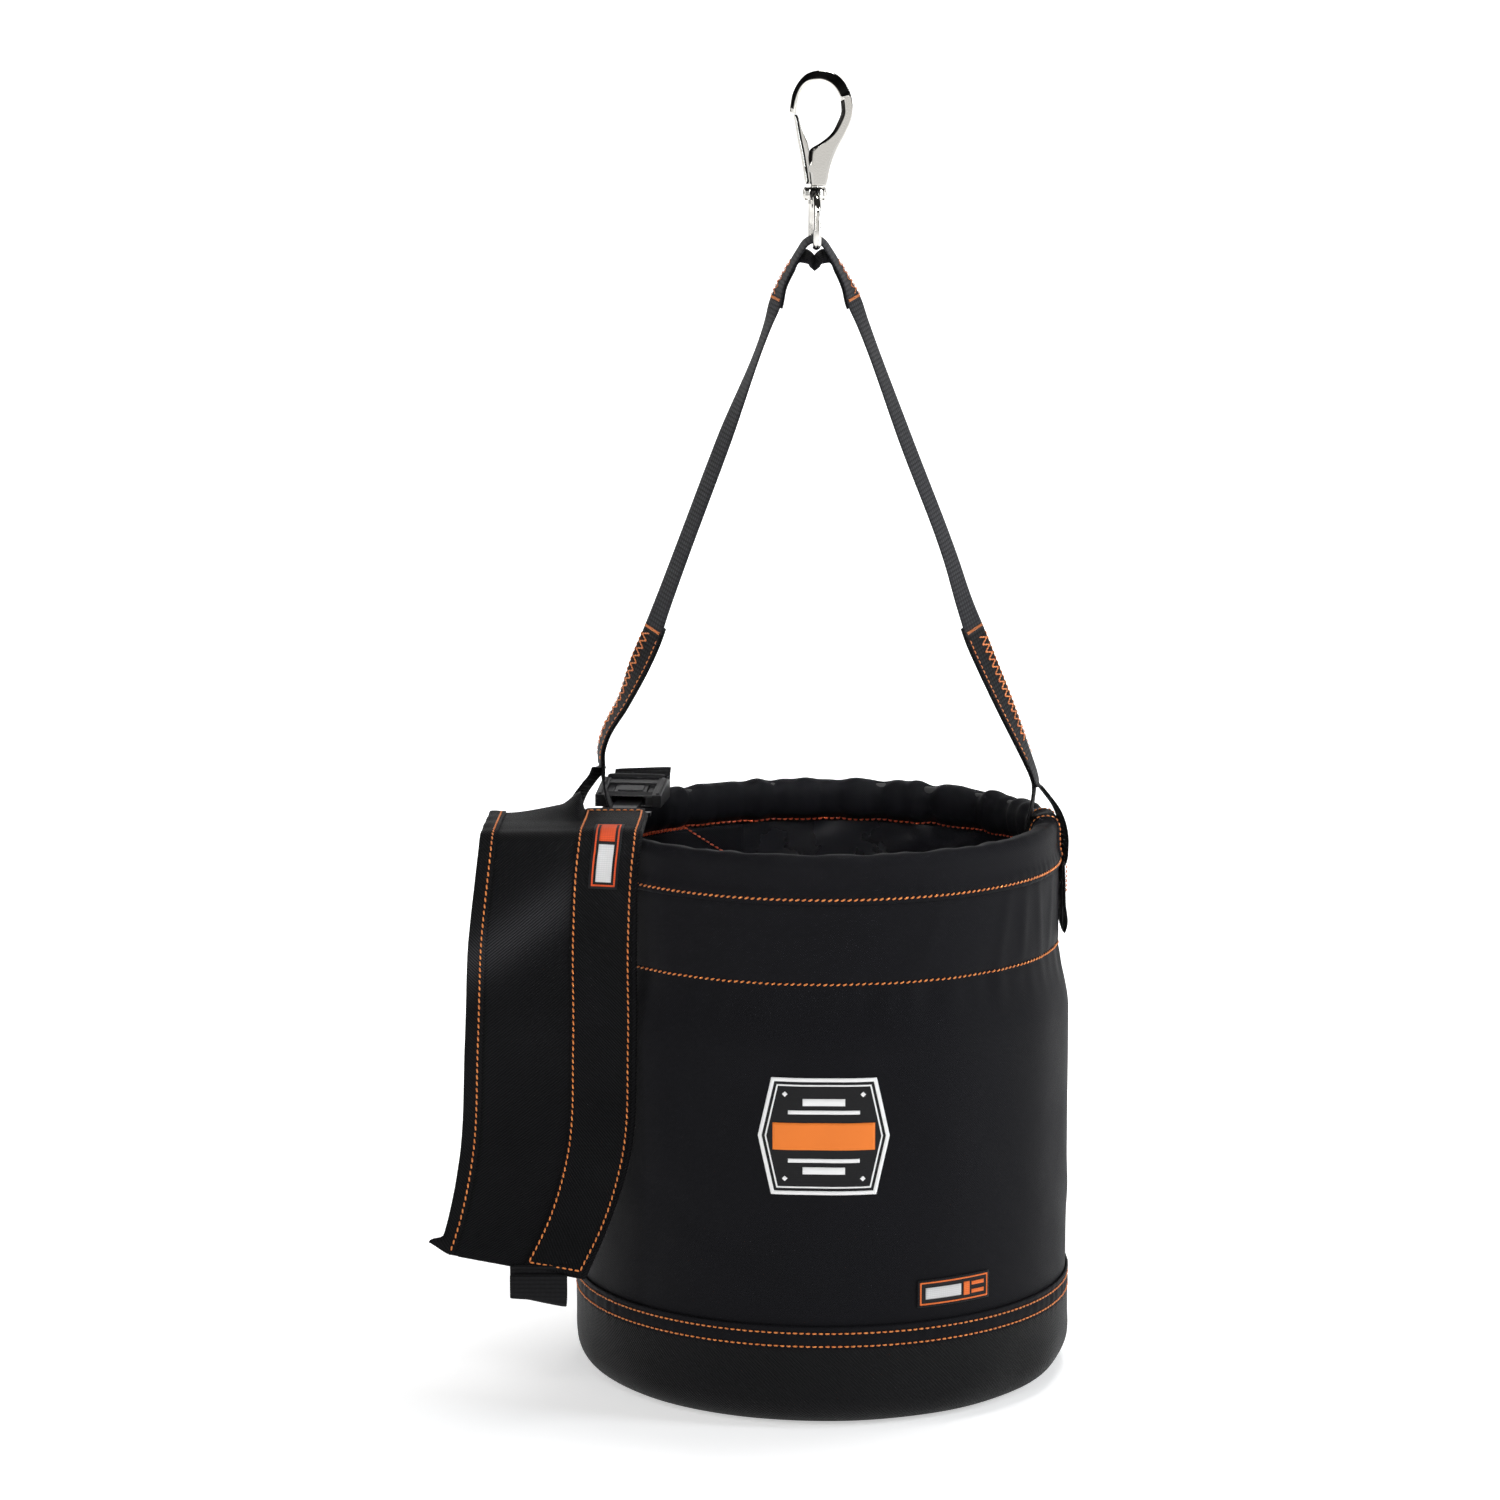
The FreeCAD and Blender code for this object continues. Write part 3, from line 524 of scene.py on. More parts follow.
def make_hem():
    points = hem_point(TURNS, HEM, section_normals(HEM))[:, ::-1]
    girth = lengths(np.vstack([HEM, HEM[:1]]))[::-1]
    hem = surface("rim_hem_cloth", points, grid_uv(FULL_TURN * NECK, girth), SHELL, closed=True, wrap=True)
    settle(hem, "bucket", "shell_fabric", "rim_hem")


def make_lining():
    """Loose lining: floor, rounded corner and a wall full of lengthwise creases."""
    inner = WALL - LINING_GAP
    profile = [(0.0015, 0.0056), (0.06, 0.0056), (inner - 0.022, 0.0058), (inner - 0.006, 0.0115),
               (inner - 0.0005, 0.024), (inner, 0.036), (inner, 0.060), (inner, 0.140), (inner, 0.225),
               (inner - 0.001, 0.238), (NECK - 0.0035, 0.281), (NECK - 0.0032, 0.295), (NECK - 0.0032, 0.332)]
    profile = through(profile, 0.0036, space=2)
    turn = TURNS[::2]
    rows = []
    for (r, z), (nr, nz) in zip(profile, -section_normals(profile, closed=False)):
        lean = 2.2 * z + 0.25 * math.sin(40 * z)
        wrinkle = 0.0022 * np.abs(rippled(PUCKER, turn + lean)) + 0.0014 * np.abs(rippled(TIGHT, turn - lean))
        wrinkle = wrinkle * min(1.0, r / 0.12) * (0.6 + 0.4 * math.sin(55 * z + 3 * r)) + 0.0002
        rows.append(around(r + nr * wrinkle, turn, z + nz * wrinkle))
    uv = grid_uv(lengths(profile), np.append(turn, 2 * math.pi)[::-1] * inner)
    lining = surface("lining_cloth", np.stack(rows)[:, ::-1], uv, LINING, closed=True)
    settle(lining, "bucket", "lining", "inner_lining")


def boot_profile():
    corner = [(BOOT - BOOT_CORNER + BOOT_CORNER * math.sin(a), BOOT_CORNER - BOOT_CORNER * math.cos(a))
              for a in np.linspace(0, math.pi / 2, 7)]
    return through(corner + [(BOOT, 0.036), (BOOT, BOOT_TOP)], 0.0016, space=2)


def boot_radius(turn, r, z):
    dents = 0.0010 * rippled(SOFT, turn + 0.4) * hump(z, 0.018, 0.014)
    quilt = sum(hump(z, seam, 0.0013) for seam in BOOT_SEAMS)
    pucker = 0.0003 * rippled(TIGHT, turn) * hump(z, 0.058, 0.008)
    return r + 0.0003 + dents + pucker - 0.0006 * quilt + 0.0003 * hump(z, BOOT_TOP, 0.002)


def make_boot():
    """Boot of coarse cloth; its folded top shows the shell's finer cloth."""
    profile = boot_profile()
    r, z = profile.T[..., None]
    points = around(boot_radius(TURNS, r, z), TURNS, z + 0.0002)
    boot = surface("boot_cloth", points, grid_uv(lengths(profile), FULL_TURN * BOOT), BOOT_NYLON, closed=True)
    repaint(boot, SHELL, np.repeat(profile[:-1, 1] > BOOT_SEAMS[0] - 0.0022, len(TURNS)))
    thicken(boot, 0.0013)
    settle(boot, "bucket", "boot_fabric", "bottom_boot")


def make_bottom():
    edge = BOOT - BOOT_CORNER + 0.0006
    radii = np.linspace(0.0006, edge, 40)[:, None]
    rise = 0.0008 + 0.0007 * hump(radii, edge * 0.5, edge * 0.4)
    points = around(radii, TURNS[::3], rise)[:, ::-1]
    uv = np.concatenate([points, points[:, :1]], axis=1)[..., :2]
    bottom = surface("bottom_cloth", points, uv, BOOT_NYLON, closed=True)
    thicken(bottom, CLOTH)
    settle(bottom, "bucket", "boot_fabric", "bottom_panel")


SEWN_TURN = np.linspace(0, 2 * math.pi, 900)
SLANTED = dict(wide=0.0011, share=0.78, lean=0.42)


def ring_of_stitches(name, z, radius, **kind):
    line = around(radius(SEWN_TURN), SEWN_TURN, z)
    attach(stitches(name, line, outwards(SEWN_TURN), ORANGE, **kind), "bucket")


def make_shell_stitches():
    sew_hem("stitch_hem", (0.1520, HEM_SEAM), ORANGE, **SLANTED)
    sew_hem("stitch_inner", (0.1436, 0.3324), RED, wide=0.0013, lean=0.2)
    ring_of_stitches("stitch_upper", UPPER_SEAM, lambda t: wall_radius(t, UPPER_SEAM) + 0.0003, **SLANTED)
    for number, seam in enumerate(BOOT_SEAMS):
        ring_of_stitches(f"stitch_boot_{number + 1}", seam + 0.0002,
                         lambda t: boot_radius(t, BOOT, seam) + 0.0003)


def sew_hem(name, place, finish, **kind):
    """Stitches round the hem, on the part of its section nearest to a place."""
    k = int(np.argmin(np.linalg.norm(HEM - place, axis=1)))
    normals = section_normals(HEM)
    line = hem_point(SEWN_TURN, HEM[k:k + 1], normals[k:k + 1], 0.0003)[:, 0]
    out = around(normals[k, 0], SEWN_TURN, normals[k, 1])
    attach(stitches(name, line, out, finish, **kind), "bucket")


def make_back_seam():
    """Lapped seam that closes the shell at the back."""
    at, apart = math.radians(118), 0.0032
    z = np.linspace(BOOT_TOP + 0.001, 0.3265, 60)
    for number, shift in enumerate((-apart, apart)):
        turn = at + shift / WALL + 0 * z
        seam = stitches(f"stitch_back_{number + 1}", on_wall(turn, z, 0.0010), outwards(turn), ORANGE)
        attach(seam, "bucket")
    u = np.array([-1, -0.97, -0.7, -0.35, 0, 0.35, 0.7, 0.97, 1]) * 0.006
    lift = np.array([-0.0004, 0.0006, 0.0008, 0.0007, 0.0008, 0.0007, 0.0008, 0.0006, -0.0004])
    lap = surface("back_seam_lap", on_wall(at + u / WALL, z[:, None], lift), grid_uv(z, u), SHELL)
    settle(lap, "bucket", "shell_fabric")


# ---- saddles and inner patch

def saddle_section():
    open_hem = through(HEM_POINTS, 0.0012, space=2)
    return open_hem[open_hem[:, 1] > 0.3345]


def make_saddle(side, name):
    section = saddle_section()
    normals = section_normals(section, closed=False)
    middle = 0 if side > 0 else math.pi
    half = BAND_WIDE / 2 / NECK
    turn = np.linspace(middle - half, middle + half, 34)
    rim = 1 - np.clip((np.abs(turn - middle) / half - 0.9) / 0.1, 0, 1) ** 2
    points = hem_point(turn, section, normals, 0.0002 + 0.0011 * rim[:, None])
    uv = grid_uv(turn * NECK, lengths(section))
    saddle = surface(f"saddle_{name}", points[:, ::-1], uv[:, ::-1], SHELL)
    settle(saddle, "bucket", "shell_fabric", f"rim_saddle_{name}")
    for edge, sign in (("front", -side), ("back", side)):
        at = np.array([middle + sign * (half - 0.0026 / NECK)])
        line = hem_point(at, section, normals, 0.00135)[0]
        out = around(normals[:, 0], at, normals[:, 1])
        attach(stitches(f"stitch_saddle_{name}_{edge}", line, out, ORANGE, pitch=0.0032), "bucket")


def make_inner_patch():
    """Reinforcement inside the rim behind the buckle, with its slanting stitch line."""
    turn = np.radians(np.linspace(111, 178, 66))[::-1]
    z = np.linspace(0.291, 0.3295, 16)
    points = around(NECK - 0.0066, turn, z[:, None])
    patch = surface("inner_patch_cloth", points, grid_uv(z, turn * NECK), SHELL)
    thicken(patch, 0.0005)
    settle(patch, "bucket", "lining", "inner_patch")
    for name, turns, inwards, levels, kind in (
            ("slant", (129, 112.5, 40), 0.0072, (0.3318, 0.3054), dict(lean=0.1)),
            ("double", (128.5, 150, 60), 0.0078, (0.3312, 0.3312),
             dict(pitch=0.003, wide=0.0016, lean=0.35))):
        turn = np.radians(np.linspace(*turns))
        line = around(NECK - inwards, turn, np.linspace(*levels, len(turn)))
        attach(stitches(f"stitch_{name}", line, -outwards(turn), RED, **kind), "bucket")


# ---- badge and label

def wall_panel(name, middle, outline, lift, finish, columns=26):
    """Filled shape on the wall. outline lists (height, half width) from its foot upwards."""
    levels, halves = np.array(outline, float).T
    z = np.linspace(levels[0], levels[-1], max(3, int((levels[-1] - levels[0]) / 0.0016)))[:, None]
    u = np.interp(z, levels, halves) * np.linspace(-1, 1, columns)
    uv = np.stack([u, z + 0 * u], axis=-1)
    return thicken(surface(name, on_wall(middle + u / WALL, z, lift), uv, finish), PANEL)


def wall_bar(name, middle, level, tall, wide, lift, finish, columns):
    """Rectangle on the wall, of a half height and a half width."""
    return wall_panel(name, middle, [(level - tall, wide), (level + tall, wide)], lift, finish, columns)


def inset(outline, depth):
    """Convex outline, listed anticlockwise, with each side moved inwards."""
    p = np.array(outline, float)
    way = unit(np.roll(p, -1, axis=0) - p)
    moved = p + np.stack([-way[:, 1], way[:, 0]], axis=1) * depth
    corners = []
    for k in range(len(p)):
        across = np.stack([way[k - 1], -way[k]], axis=1)
        corners.append(moved[k - 1] + way[k - 1] * np.linalg.solve(across, moved[k] - moved[k - 1])[0])
    return np.array(corners)


def wall_ring(name, middle, outline, low, high, lift, finish):
    """Line of even width inside a convex outline, from depth low to depth high."""
    share = np.linspace(0, 1, 16, endpoint=False)[:, None]
    sides = []
    for depth in (low, (low + high) / 2, high):
        p = inset(outline, depth)
        sides.append(np.vstack([a + (b - a) * share for a, b in zip(p, np.roll(p, -1, axis=0))]))
    flat = np.stack(sides, axis=1)
    points = on_wall(middle + flat[..., 0] / WALL, flat[..., 1], lift + np.array([0.0, 0.00012, 0.0]))
    ring = surface(name, points, np.concatenate([flat, flat[:1]]), finish, wrap=True)
    return thicken(ring, PANEL, 1.0)


def make_badge():
    """Six-sided badge with a double border, bars and corner dots."""
    middle, level, face = FRONT - 0.010, 0.1863, 0.00075
    half, point, tall = 0.0325, 0.0408, 0.0367
    outline = [(-half, level - tall), (half, level - tall), (point, level),
               (half, level + tall), (-half, level + tall), (-point, level)]
    base = wall_panel("badge_ground", middle, [(level - tall, half), (level, point), (level + tall, half)],
                      0.00045, BLACK_WOVEN, 46)
    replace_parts(base, "emblem_patch")
    parts = [base]
    for name, low, high in (("badge_rim", 0.0, 0.0024), ("badge_line", 0.0042, 0.0052)):
        parts.append(wall_ring(name, middle, outline, low, high, 0.0005, WHITE_PRINT))
    for name, rise, deep, wide, finish in (
            ("bar", 0.0, 0.0085, 0.0315, ORANGE_PRINT), ("upper", 0.0152, 0.0012, 0.022, WHITE_PRINT),
            ("lower", -0.0152, 0.0012, 0.022, WHITE_PRINT), ("top", 0.0215, 0.0022, 0.013, WHITE_PRINT),
            ("foot", -0.0215, 0.0022, 0.013, WHITE_PRINT)):
        parts.append(wall_bar(f"badge_{name}", middle, level + rise, deep, wide, face, finish, 36))
    dot, u, rise = 0.0017, 0.024, 0.0265
    for number, (across, up) in enumerate(((-u, rise), (u, rise), (-u, -rise), (u, -rise))):
        stud = [(level + up + dot * math.sin(a), dot * math.cos(a) + 1e-5)
                for a in np.linspace(-math.pi / 2, math.pi / 2, 9)]
        parts.append(wall_panel(f"badge_dot_{number + 1}", middle + across / WALL, stud, face,
                                WHITE_PRINT, 7))
    for part in parts:
        settle(part, "bucket", "badge")


def make_front_label():
    """Woven label with a border, a pale block and three small bars."""
    middle, low, high, half = FRONT + math.radians(30.5), 0.0752, 0.0925, 0.0262
    outline = [(-half, low), (half, low), (half, high), (-half, high)]
    ground = wall_panel("label_ground", middle, [(low, half), (high, half)], 0.0011, BLACK_WOVEN, 30)
    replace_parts(ground, "front_label")
    parts = [ground, wall_ring("label_border", middle, outline, 0.0014, 0.0024, 0.0013, ORANGE_WOVEN)]
    for name, u, rise, wide, deep, finish in (
            ("block", -0.0085, 0.0, 0.0125, 0.0036, GREY_WOVEN),
            ("tag", 0.0082, 0.0, 0.0022, 0.0042, ORANGE_WOVEN),
            ("note_1", 0.0168, 0.0026, 0.0048, 0.0012, ORANGE_WOVEN),
            ("note_2", 0.0168, -0.0026, 0.0048, 0.0012, ORANGE_WOVEN)):
        parts.append(wall_bar(f"label_{name}", middle + u / WALL, (low + high) / 2 + rise, deep, wide, 0.0015,
                              finish, 14))
    for part in parts:
        settle(part, "bucket", "label_fabric")
    edge = inset(outline, 0.0006)
    edge = resampled(np.vstack([edge, edge[:1]]), 0.001, 2)
    turn = middle + edge[:, 0] / WALL
    sewn = stitches("stitch_label", on_wall(turn, edge[:, 1], 0.0009), outwards(turn), BLACK_WOVEN,
                    pitch=0.0024, wide=0.0005)
    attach(sewn, "bucket")


# ---- handle

# Half of the handle from its foot to the crown: x, z, and the turn of the webbing about its own line.
REACH = {
    -1: [(-0.1427, 0.3920, 7), (-0.1427, 0.4012, 7), (-0.1404, 0.4102, 8), (-0.1278, 0.4338, 14),
         (-0.1168, 0.4590, 27), (-0.1111, 0.4720, 28), (-0.1022, 0.4960, 24), (-0.0922, 0.5230, 22),
         (-0.0636, 0.5990, 20), (-0.0348, 0.6750, 11), (-0.0311, 0.6860, 16), (-0.0272, 0.6980, 9),
         (-0.0220, 0.7080, 7), (-0.0158, 0.7186, 7), (-0.0110, 0.7249, 8)],
    1: [(0.1372, 0.3800, 8), (0.1352, 0.3870, 9), (0.1318, 0.3955, 11), (0.1256, 0.4100, 16),
        (0.1152, 0.4338, 24), (0.1041, 0.4590, 29), (0.0986, 0.4720, 31), (0.0897, 0.4960, 26),
        (0.0812, 0.5230, 22), (0.0522, 0.5990, 20), (0.0238, 0.6750, 18), (0.0187, 0.6880, 21),
        (0.0148, 0.6980, 13),
        (0.0096, 0.7080, 9), (0.0034, 0.7186, 8), (-0.0014, 0.7249, 8)],
}
# Webbing round the hem, from the outside of the foot, down, through the wall and up inside.
ROUND_HEM = {
    -1: [(-0.1450, 0.3868), (-0.1502, 0.3800), (-0.1562, 0.3712), (-0.1600, 0.3600), (-0.1596, 0.3490),
         (-0.1576, 0.3390), (-0.1535, 0.3285), (-0.1460, 0.3242), (-0.1375, 0.3252), (-0.1316, 0.3335),
         (-0.1303, 0.3450), (-0.1318, 0.3570), (-0.1368, 0.3670), (-0.1402, 0.3780)],
    1: [(0.1400, 0.3768), (0.1440, 0.3718), (0.1495, 0.3640), (0.1538, 0.3520), (0.1546, 0.3400),
        (0.1525, 0.3285), (0.1460, 0.3240), (0.1375, 0.3252), (0.1316, 0.3335), (0.1306, 0.3450),
        (0.1322, 0.3570), (0.1344, 0.3690), (0.1352, 0.3770)],
}
DOUBLER_TOP = 0.485
LAYER = 0.00175
SPLIT = {-1: 0.394, 1: 0.382}              # height at which the two layers part
FOOT_TURN = {-1: math.radians(-22), 1: math.radians(-9)}
INNER_TURN = {-1: math.radians(-6), 1: math.radians(12)}
KEEPER_TURN = math.radians(20)
RIBBON_FACES = 20                          # faces round a ribbon
DARK_BELOW = 0.4785                        # the handle's dark sewn ends
FINE = 0.0007                              # thickness of the handle's thread
TACK_PITCH = 0.0011
# Seams on each half: name, lowest and highest point, reach to one side and the other, and stitch length.
SEAMS = [("cross_{}_1", 0.4050, 0.4770, -0.0020, -0.0105, 0.0030),
         ("cross_{}_2", 0.4050, 0.4770, -0.0009, -0.0094, 0.0030),
         ("edge_{}_a", 0.3960, 0.4785, -0.0112, -0.0112, 0.0034),
         ("edge_{}_b", 0.3960, 0.4785, 0.0105, 0.0105, 0.0034),
         ("top_{}", 0.6905, 0.7140, -0.0030, -0.0108, 0.0028),
         ("top_edge_{}", 0.6890, 0.7120, -0.0115, -0.0115, 0.0030)]
TACKS = [("tack_{}", 0.4800), ("top_tack_{}", 0.6890)]


def turned_across(middle, twist, side):
    """Directions across and out of a band in the XZ plane, turned about its own line towards the front."""
    way = unit(np.gradient(middle, axis=0))
    out = xyz(-way[:, 2], 0, way[:, 0]) * side
    out = out * np.sign(out[:, :1] * side + 1e-9)
    front = np.array([0, -1.0, 0])
    angle = np.radians(twist)[:, None]
    return np.cos(angle) * front - np.sin(angle) * out, np.cos(angle) * out + np.sin(angle) * front


def handle_half(side):
    """Middle line, width direction and outer normal of one half of the handle."""
    rows = through(REACH[side] + [(CROWN_X, 0.7272, 8)], 0.0022, space=2)
    middle = xyz(rows[:, 0], 0, rows[:, 1])
    return middle, *turned_across(middle, rows[:, 2], side)


def make_handle():
    """One length of webbing: round the left foot, up, over the crown, and down round the right foot."""
    halves = {side: handle_half(side) for side in (-1, 1)}
    tails = {side: hem_tail(side, halves[side]) for side in (-1, 1)}
    middle, across = (np.vstack([tails[-1][k][::-1], halves[-1][k], halves[1][k][-2::-1], tails[1][k]])
                      for k in (0, 1))
    handle = ribbon("handle_strap", middle, across, WEBBING)
    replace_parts(handle, "handle_webbing", "handle_doubler_left", "handle_doubler_right",
                "rim_loop_left", "rim_loop_right")
    repaint(handle, DARK_WEBBING, np.repeat(middle[:-1, 2] < DARK_BELOW, RIBBON_FACES))
    soft_foot(handle)
    for side, name in ((-1, "left"), (1, "right")):
        sew_half(halves[side], name)
    make_keeper(halves)


def soft_foot(piece):
    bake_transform(piece)


def hem_tail(side, half):
    """The webbing below the foot: round the hem and back up the inside of the strap."""
    middle, across, normal = half
    keep = (middle[:, 2] > SPLIT[side]) & (middle[:, 2] < DOUBLER_TOP)
    inner = (middle - normal * LAYER)[keep]
    loop = [(x, 0, z) for x, z in ROUND_HEM[side]]
    rows = through([middle[0]] + loop + [inner[0]], 0.0018)[1:-1]
    line = np.vstack([rows, inner])
    gone = np.arange(len(rows)) / len(rows)
    turn = FOOT_TURN[side] + (INNER_TURN[side] - FOOT_TURN[side]) * ease(gone, 0.50, 0.68)
    start = np.stack([-side * np.sin(turn), -np.cos(turn), 0 * turn], axis=1)
    share = ease(gone, 0.7, 1.0)[:, None]
    start = unit(start * (1 - share) + across[keep][:1] * share)
    return line, np.vstack([start, across[keep]])


def zigzag(half, low, high, reach, pitch=0.0052):
    """Points and normals of a zigzag seam on the outer face, between two heights."""
    keep = (half[0][:, 2] > low) & (half[0][:, 2] < high)
    gone = lengths(half[0][keep])
    at = np.arange(0, gone[-1], pitch / 2)
    middle, across, normal = (np.stack([np.interp(at, gone, column) for column in rows[keep].T], axis=1)
                              for rows in half)
    sway = np.where(np.arange(len(at)) % 2 == 0, *reach)[:, None]
    normal = unit(normal)
    return middle + unit(across) * sway + normal * (WEB_THICK / 2), normal


def bar_tack(half, level, reach=0.0108, spread=0.0022, count=40):
    """Dense short zigzag right across the webbing."""
    middle, across, normal = half
    k = int(np.argmin(np.abs(middle[:, 2] - level)))
    way = unit(middle[k + 1] - middle[k - 1])
    share = np.linspace(-1, 1, count)[:, None]
    sway = np.where(np.arange(count) % 2 == 0, -0.5, 0.5)[:, None] * spread
    line = middle[k] + across[k] * share * reach + way * sway + normal[k] * (WEB_THICK / 2)
    return line, np.tile(normal[k], (count, 1))


def sew_half(half, name):
    """Crossed seams, edge seams and tacks at the foot and the top of one half of the handle."""
    for seam, low, high, one, other, pitch in SEAMS:
        line, out = zigzag(half, low, high, (one, other))
        soft_foot(stitches("stitch_" + seam.format(name), line, out, ORANGE, pitch=pitch, wide=FINE))
    for seam, level in TACKS:
        line, out = bar_tack(half, level)
        soft_foot(stitches("stitch_" + seam.format(name), line, out, ORANGE, pitch=TACK_PITCH, wide=FINE))


def make_keeper(halves):
    """Short length that lies inside the crown and is pinched to a point under the eye."""
    legs = {}
    for side, (middle, across, normal) in halves.items():
        keep = (middle[:, 2] > 0.6845) & (middle[:, 2] < 0.7085)
        legs[side] = ((middle - normal * LAYER)[keep], across[keep])
    dip = [(CROWN_X + x, 0, z) for x, z in (
        (-0.0098, 0.7150), (-0.0058, 0.7158), (-0.0026, 0.7140), (0, 0.7112), (0.0026, 0.7140),
        (0.0058, 0.7158), (0.0098, 0.7150))]
    bridge = through([legs[-1][0][-1]] + dip + [legs[1][0][-1]], 0.0012)[1:-1]
    share = np.linspace(-1, 1, len(bridge))[:, None]
    ends = np.where(share < 0, legs[-1][1][-1:], legs[1][1][-1:])
    tipped = np.array([0, -math.cos(KEEPER_TURN), -math.sin(KEEPER_TURN)])
    turn = unit(tipped + (ends - tipped) * ease(np.abs(share), 0.3, 1.0))
    middle = np.vstack([legs[-1][0], bridge, legs[1][0][::-1]])
    across = np.vstack([legs[-1][1], turn, legs[1][1][::-1]])
    wide = WEB_WIDE - 0.001
    keeper = ribbon("crown_keeper_webbing", middle, across, WEBBING, wide=wide)
    settle(keeper, "handle", "webbing", "crown_keeper")


# ---- cover

# Middle of the folded cloth: y, z, left edge, right edge, left edge of the band on it.
COVER = [(-0.0235, 0.3634, -0.2120, -0.1120, -0.1515), (-0.0500, 0.3634, -0.2125, -0.1125, -0.1518),
         (-0.0800, 0.3631, -0.2132, -0.1133, -0.1530), (-0.0940, 0.3614, -0.2138, -0.1140, -0.1540),
         (-0.1005, 0.3575, -0.2142, -0.1145, -0.1545), (-0.1035, 0.3500, -0.2150, -0.1155, -0.1555),
         (-0.1085, 0.3000, -0.2205, -0.1172, -0.1583), (-0.1120, 0.2350, -0.2235, -0.1175, -0.1585),
         (-0.1170, 0.1600, -0.2275, -0.1225, -0.1630), (-0.1245, 0.1180, -0.2360, -0.1365, -0.1760),
         (-0.1355, 0.0900, -0.2455, -0.1495, -0.1905)]
COVER_ROWS = through(COVER, 0.0025, space=2)
COVER_OUT = section_normals(COVER_ROWS[:, :2], closed=False)
COVER_LONG = lengths(COVER_ROWS[:, :2])[-1]
COVER_SLANT = 0.046
BAND_END = 0.998
BAND_LIFT = 0.0027                         # height of the band's middle above the cover's
COVER_WIDE = 0.0985
CLOSE = dict(wide=0.0010, share=0.86, lean=0.2)


def cover_sample(at):
    index = np.clip(at, 0, 1) * (len(COVER_ROWS) - 1)
    steps = np.arange(len(COVER_ROWS))
    rows = [np.interp(index, steps, column) for column in COVER_ROWS.T]
    return rows + [np.interp(index, steps, column) for column in COVER_OUT.T]


def cover_point(along, share, lift):
    """Point of the cover: share of its length, share of its width, and height off its middle."""
    at = along * (1 - COVER_SLANT * (1 - share))
    y, z, left, right, _, out_y, out_z = cover_sample(at)
    x = left + share * (right - left)
    hang = ease(-z, -0.352, -0.30)
    fold = 0.0042 * hump(z - 0.62 * (x + 0.19), 0.312, 0.018) * (1 - ease(share, 0.3, 0.8))
    wave = 0.0012 * np.sin(31 * x + 24 * z) + 0.0008 * np.sin(70 * x - 19 * z + 1.0)
    droop = -0.0004 * (1 - hang) * (1 - ease(share, 0.0, 0.6))
    tip = ease(along, 0.965, 1.0) * (1 - ease(share, 0.0, 0.07))
    x, z, lift = x - 0.0055 * tip, z + 0.006 * tip, lift + 0.004 * tip
    lift = lift + hang * (fold + wave * (1 - 0.7 * share))
    return xyz(x, y + out_y * lift, z + out_z * lift + droop)


def cover_normal(along, share):
    d = 0.004
    run = cover_point(along + d, share, 0 * along) - cover_point(along - d, share, 0 * along)
    wide = cover_point(along, share + d, 0 * along) - cover_point(along, share - d, 0 * along)
    return unit(np.cross(run, wide))


def band_share(along, u):
    """Share of the cover's width at a distance u from the band's left edge."""
    _, _, left, right, band, _, _ = cover_sample(along)
    return (band + u - left) / (right - left)


def cover_section(width):
    """Cross-section of the doubled cloth: (distance from the left edge, height) in metres."""
    hem = [(10.0, 2.45), (9.7, 2.5), (8.6, 2.45), (7.3, 2.3), (6.0, 2.45), (3.5, 2.5), (1.2, 2.4),
           (0.25, 2.15), (0.0, 1.85), (0.25, 1.55), (1.2, 1.35)]
    front = [(x, 1.3) for x in np.linspace(3.0, width * 1000 - 3.0, 46)]
    turn = [(width * 1000 + x, h) for x, h in (
        (-1.4, 1.25), (-0.5, 0.95), (-0.1, 0.45), (0, 0), (-0.1, -0.45), (-0.5, -0.95), (-1.4, -1.25))]
    back = [(x, -1.3) for x in np.linspace(width * 1000 - 4.0, 13.0, 30)]
    return np.array(hem + front + turn + back) / 1000


def upper_rise(along, share):
    """How far the cloth rises beside the buckle, at the cover's upper end."""
    rise = (ease(share, 0.10, 0.64) + ease(share, 0.45, 0.59)) / 1.4
    return 0.0098 * rise * (1 - ease(share, 0.575, 0.602)) * (1 - ease(along, 0.0, 0.11))


def on_cover(piece):
    """Bake the transform of a piece of the cover into its mesh."""
    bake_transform(piece)


def make_cover():
    along = np.linspace(0, 1, int(COVER_LONG / 0.0022))
    section = cover_section(COVER_WIDE)
    share = section[:, 0] / COVER_WIDE
    a, s = np.meshgrid(along, share, indexing="ij")
    ruffle = 0.0004 * np.sin(a * 90 + 1.3) * hump(s, 0.0, 0.06)
    points = cover_point(a, s, section[:, 1] + ruffle)
    points[..., 2] += upper_rise(a, s)
    cover = surface("cover_cloth", points, grid_uv(along * COVER_LONG, lengths(section)), COVER_NYLON)
    # Painted sheen band: a diagonal strip across the cover's upper left that its material tints pale as a
    # highlight.
    painted_sheen = hump(points[..., 2], 0.306 + 0.62 * (points[..., 0] + 0.19), 0.017) * (1 - ease(s, 0.45, 0.85))
    layer = cover.data.attributes.new("painted_sheen", "FLOAT", "POINT")
    layer.data.foreach_set("value", painted_sheen.astype(np.float32).ravel())
    thicken(cover, CLOTH, 0.0)
    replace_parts(cover, "cover_top_panel", "cover_wing_left", "cover_wing_right", "cover_fold_roll")
    on_cover(cover)
    sew_cover("stitch_cover_hem", np.linspace(0.006, 0.994, 300), 0.0073 / COVER_WIDE, 0.00285, **CLOSE)
    make_band(along)
    make_cover_label()
    make_cover_end()


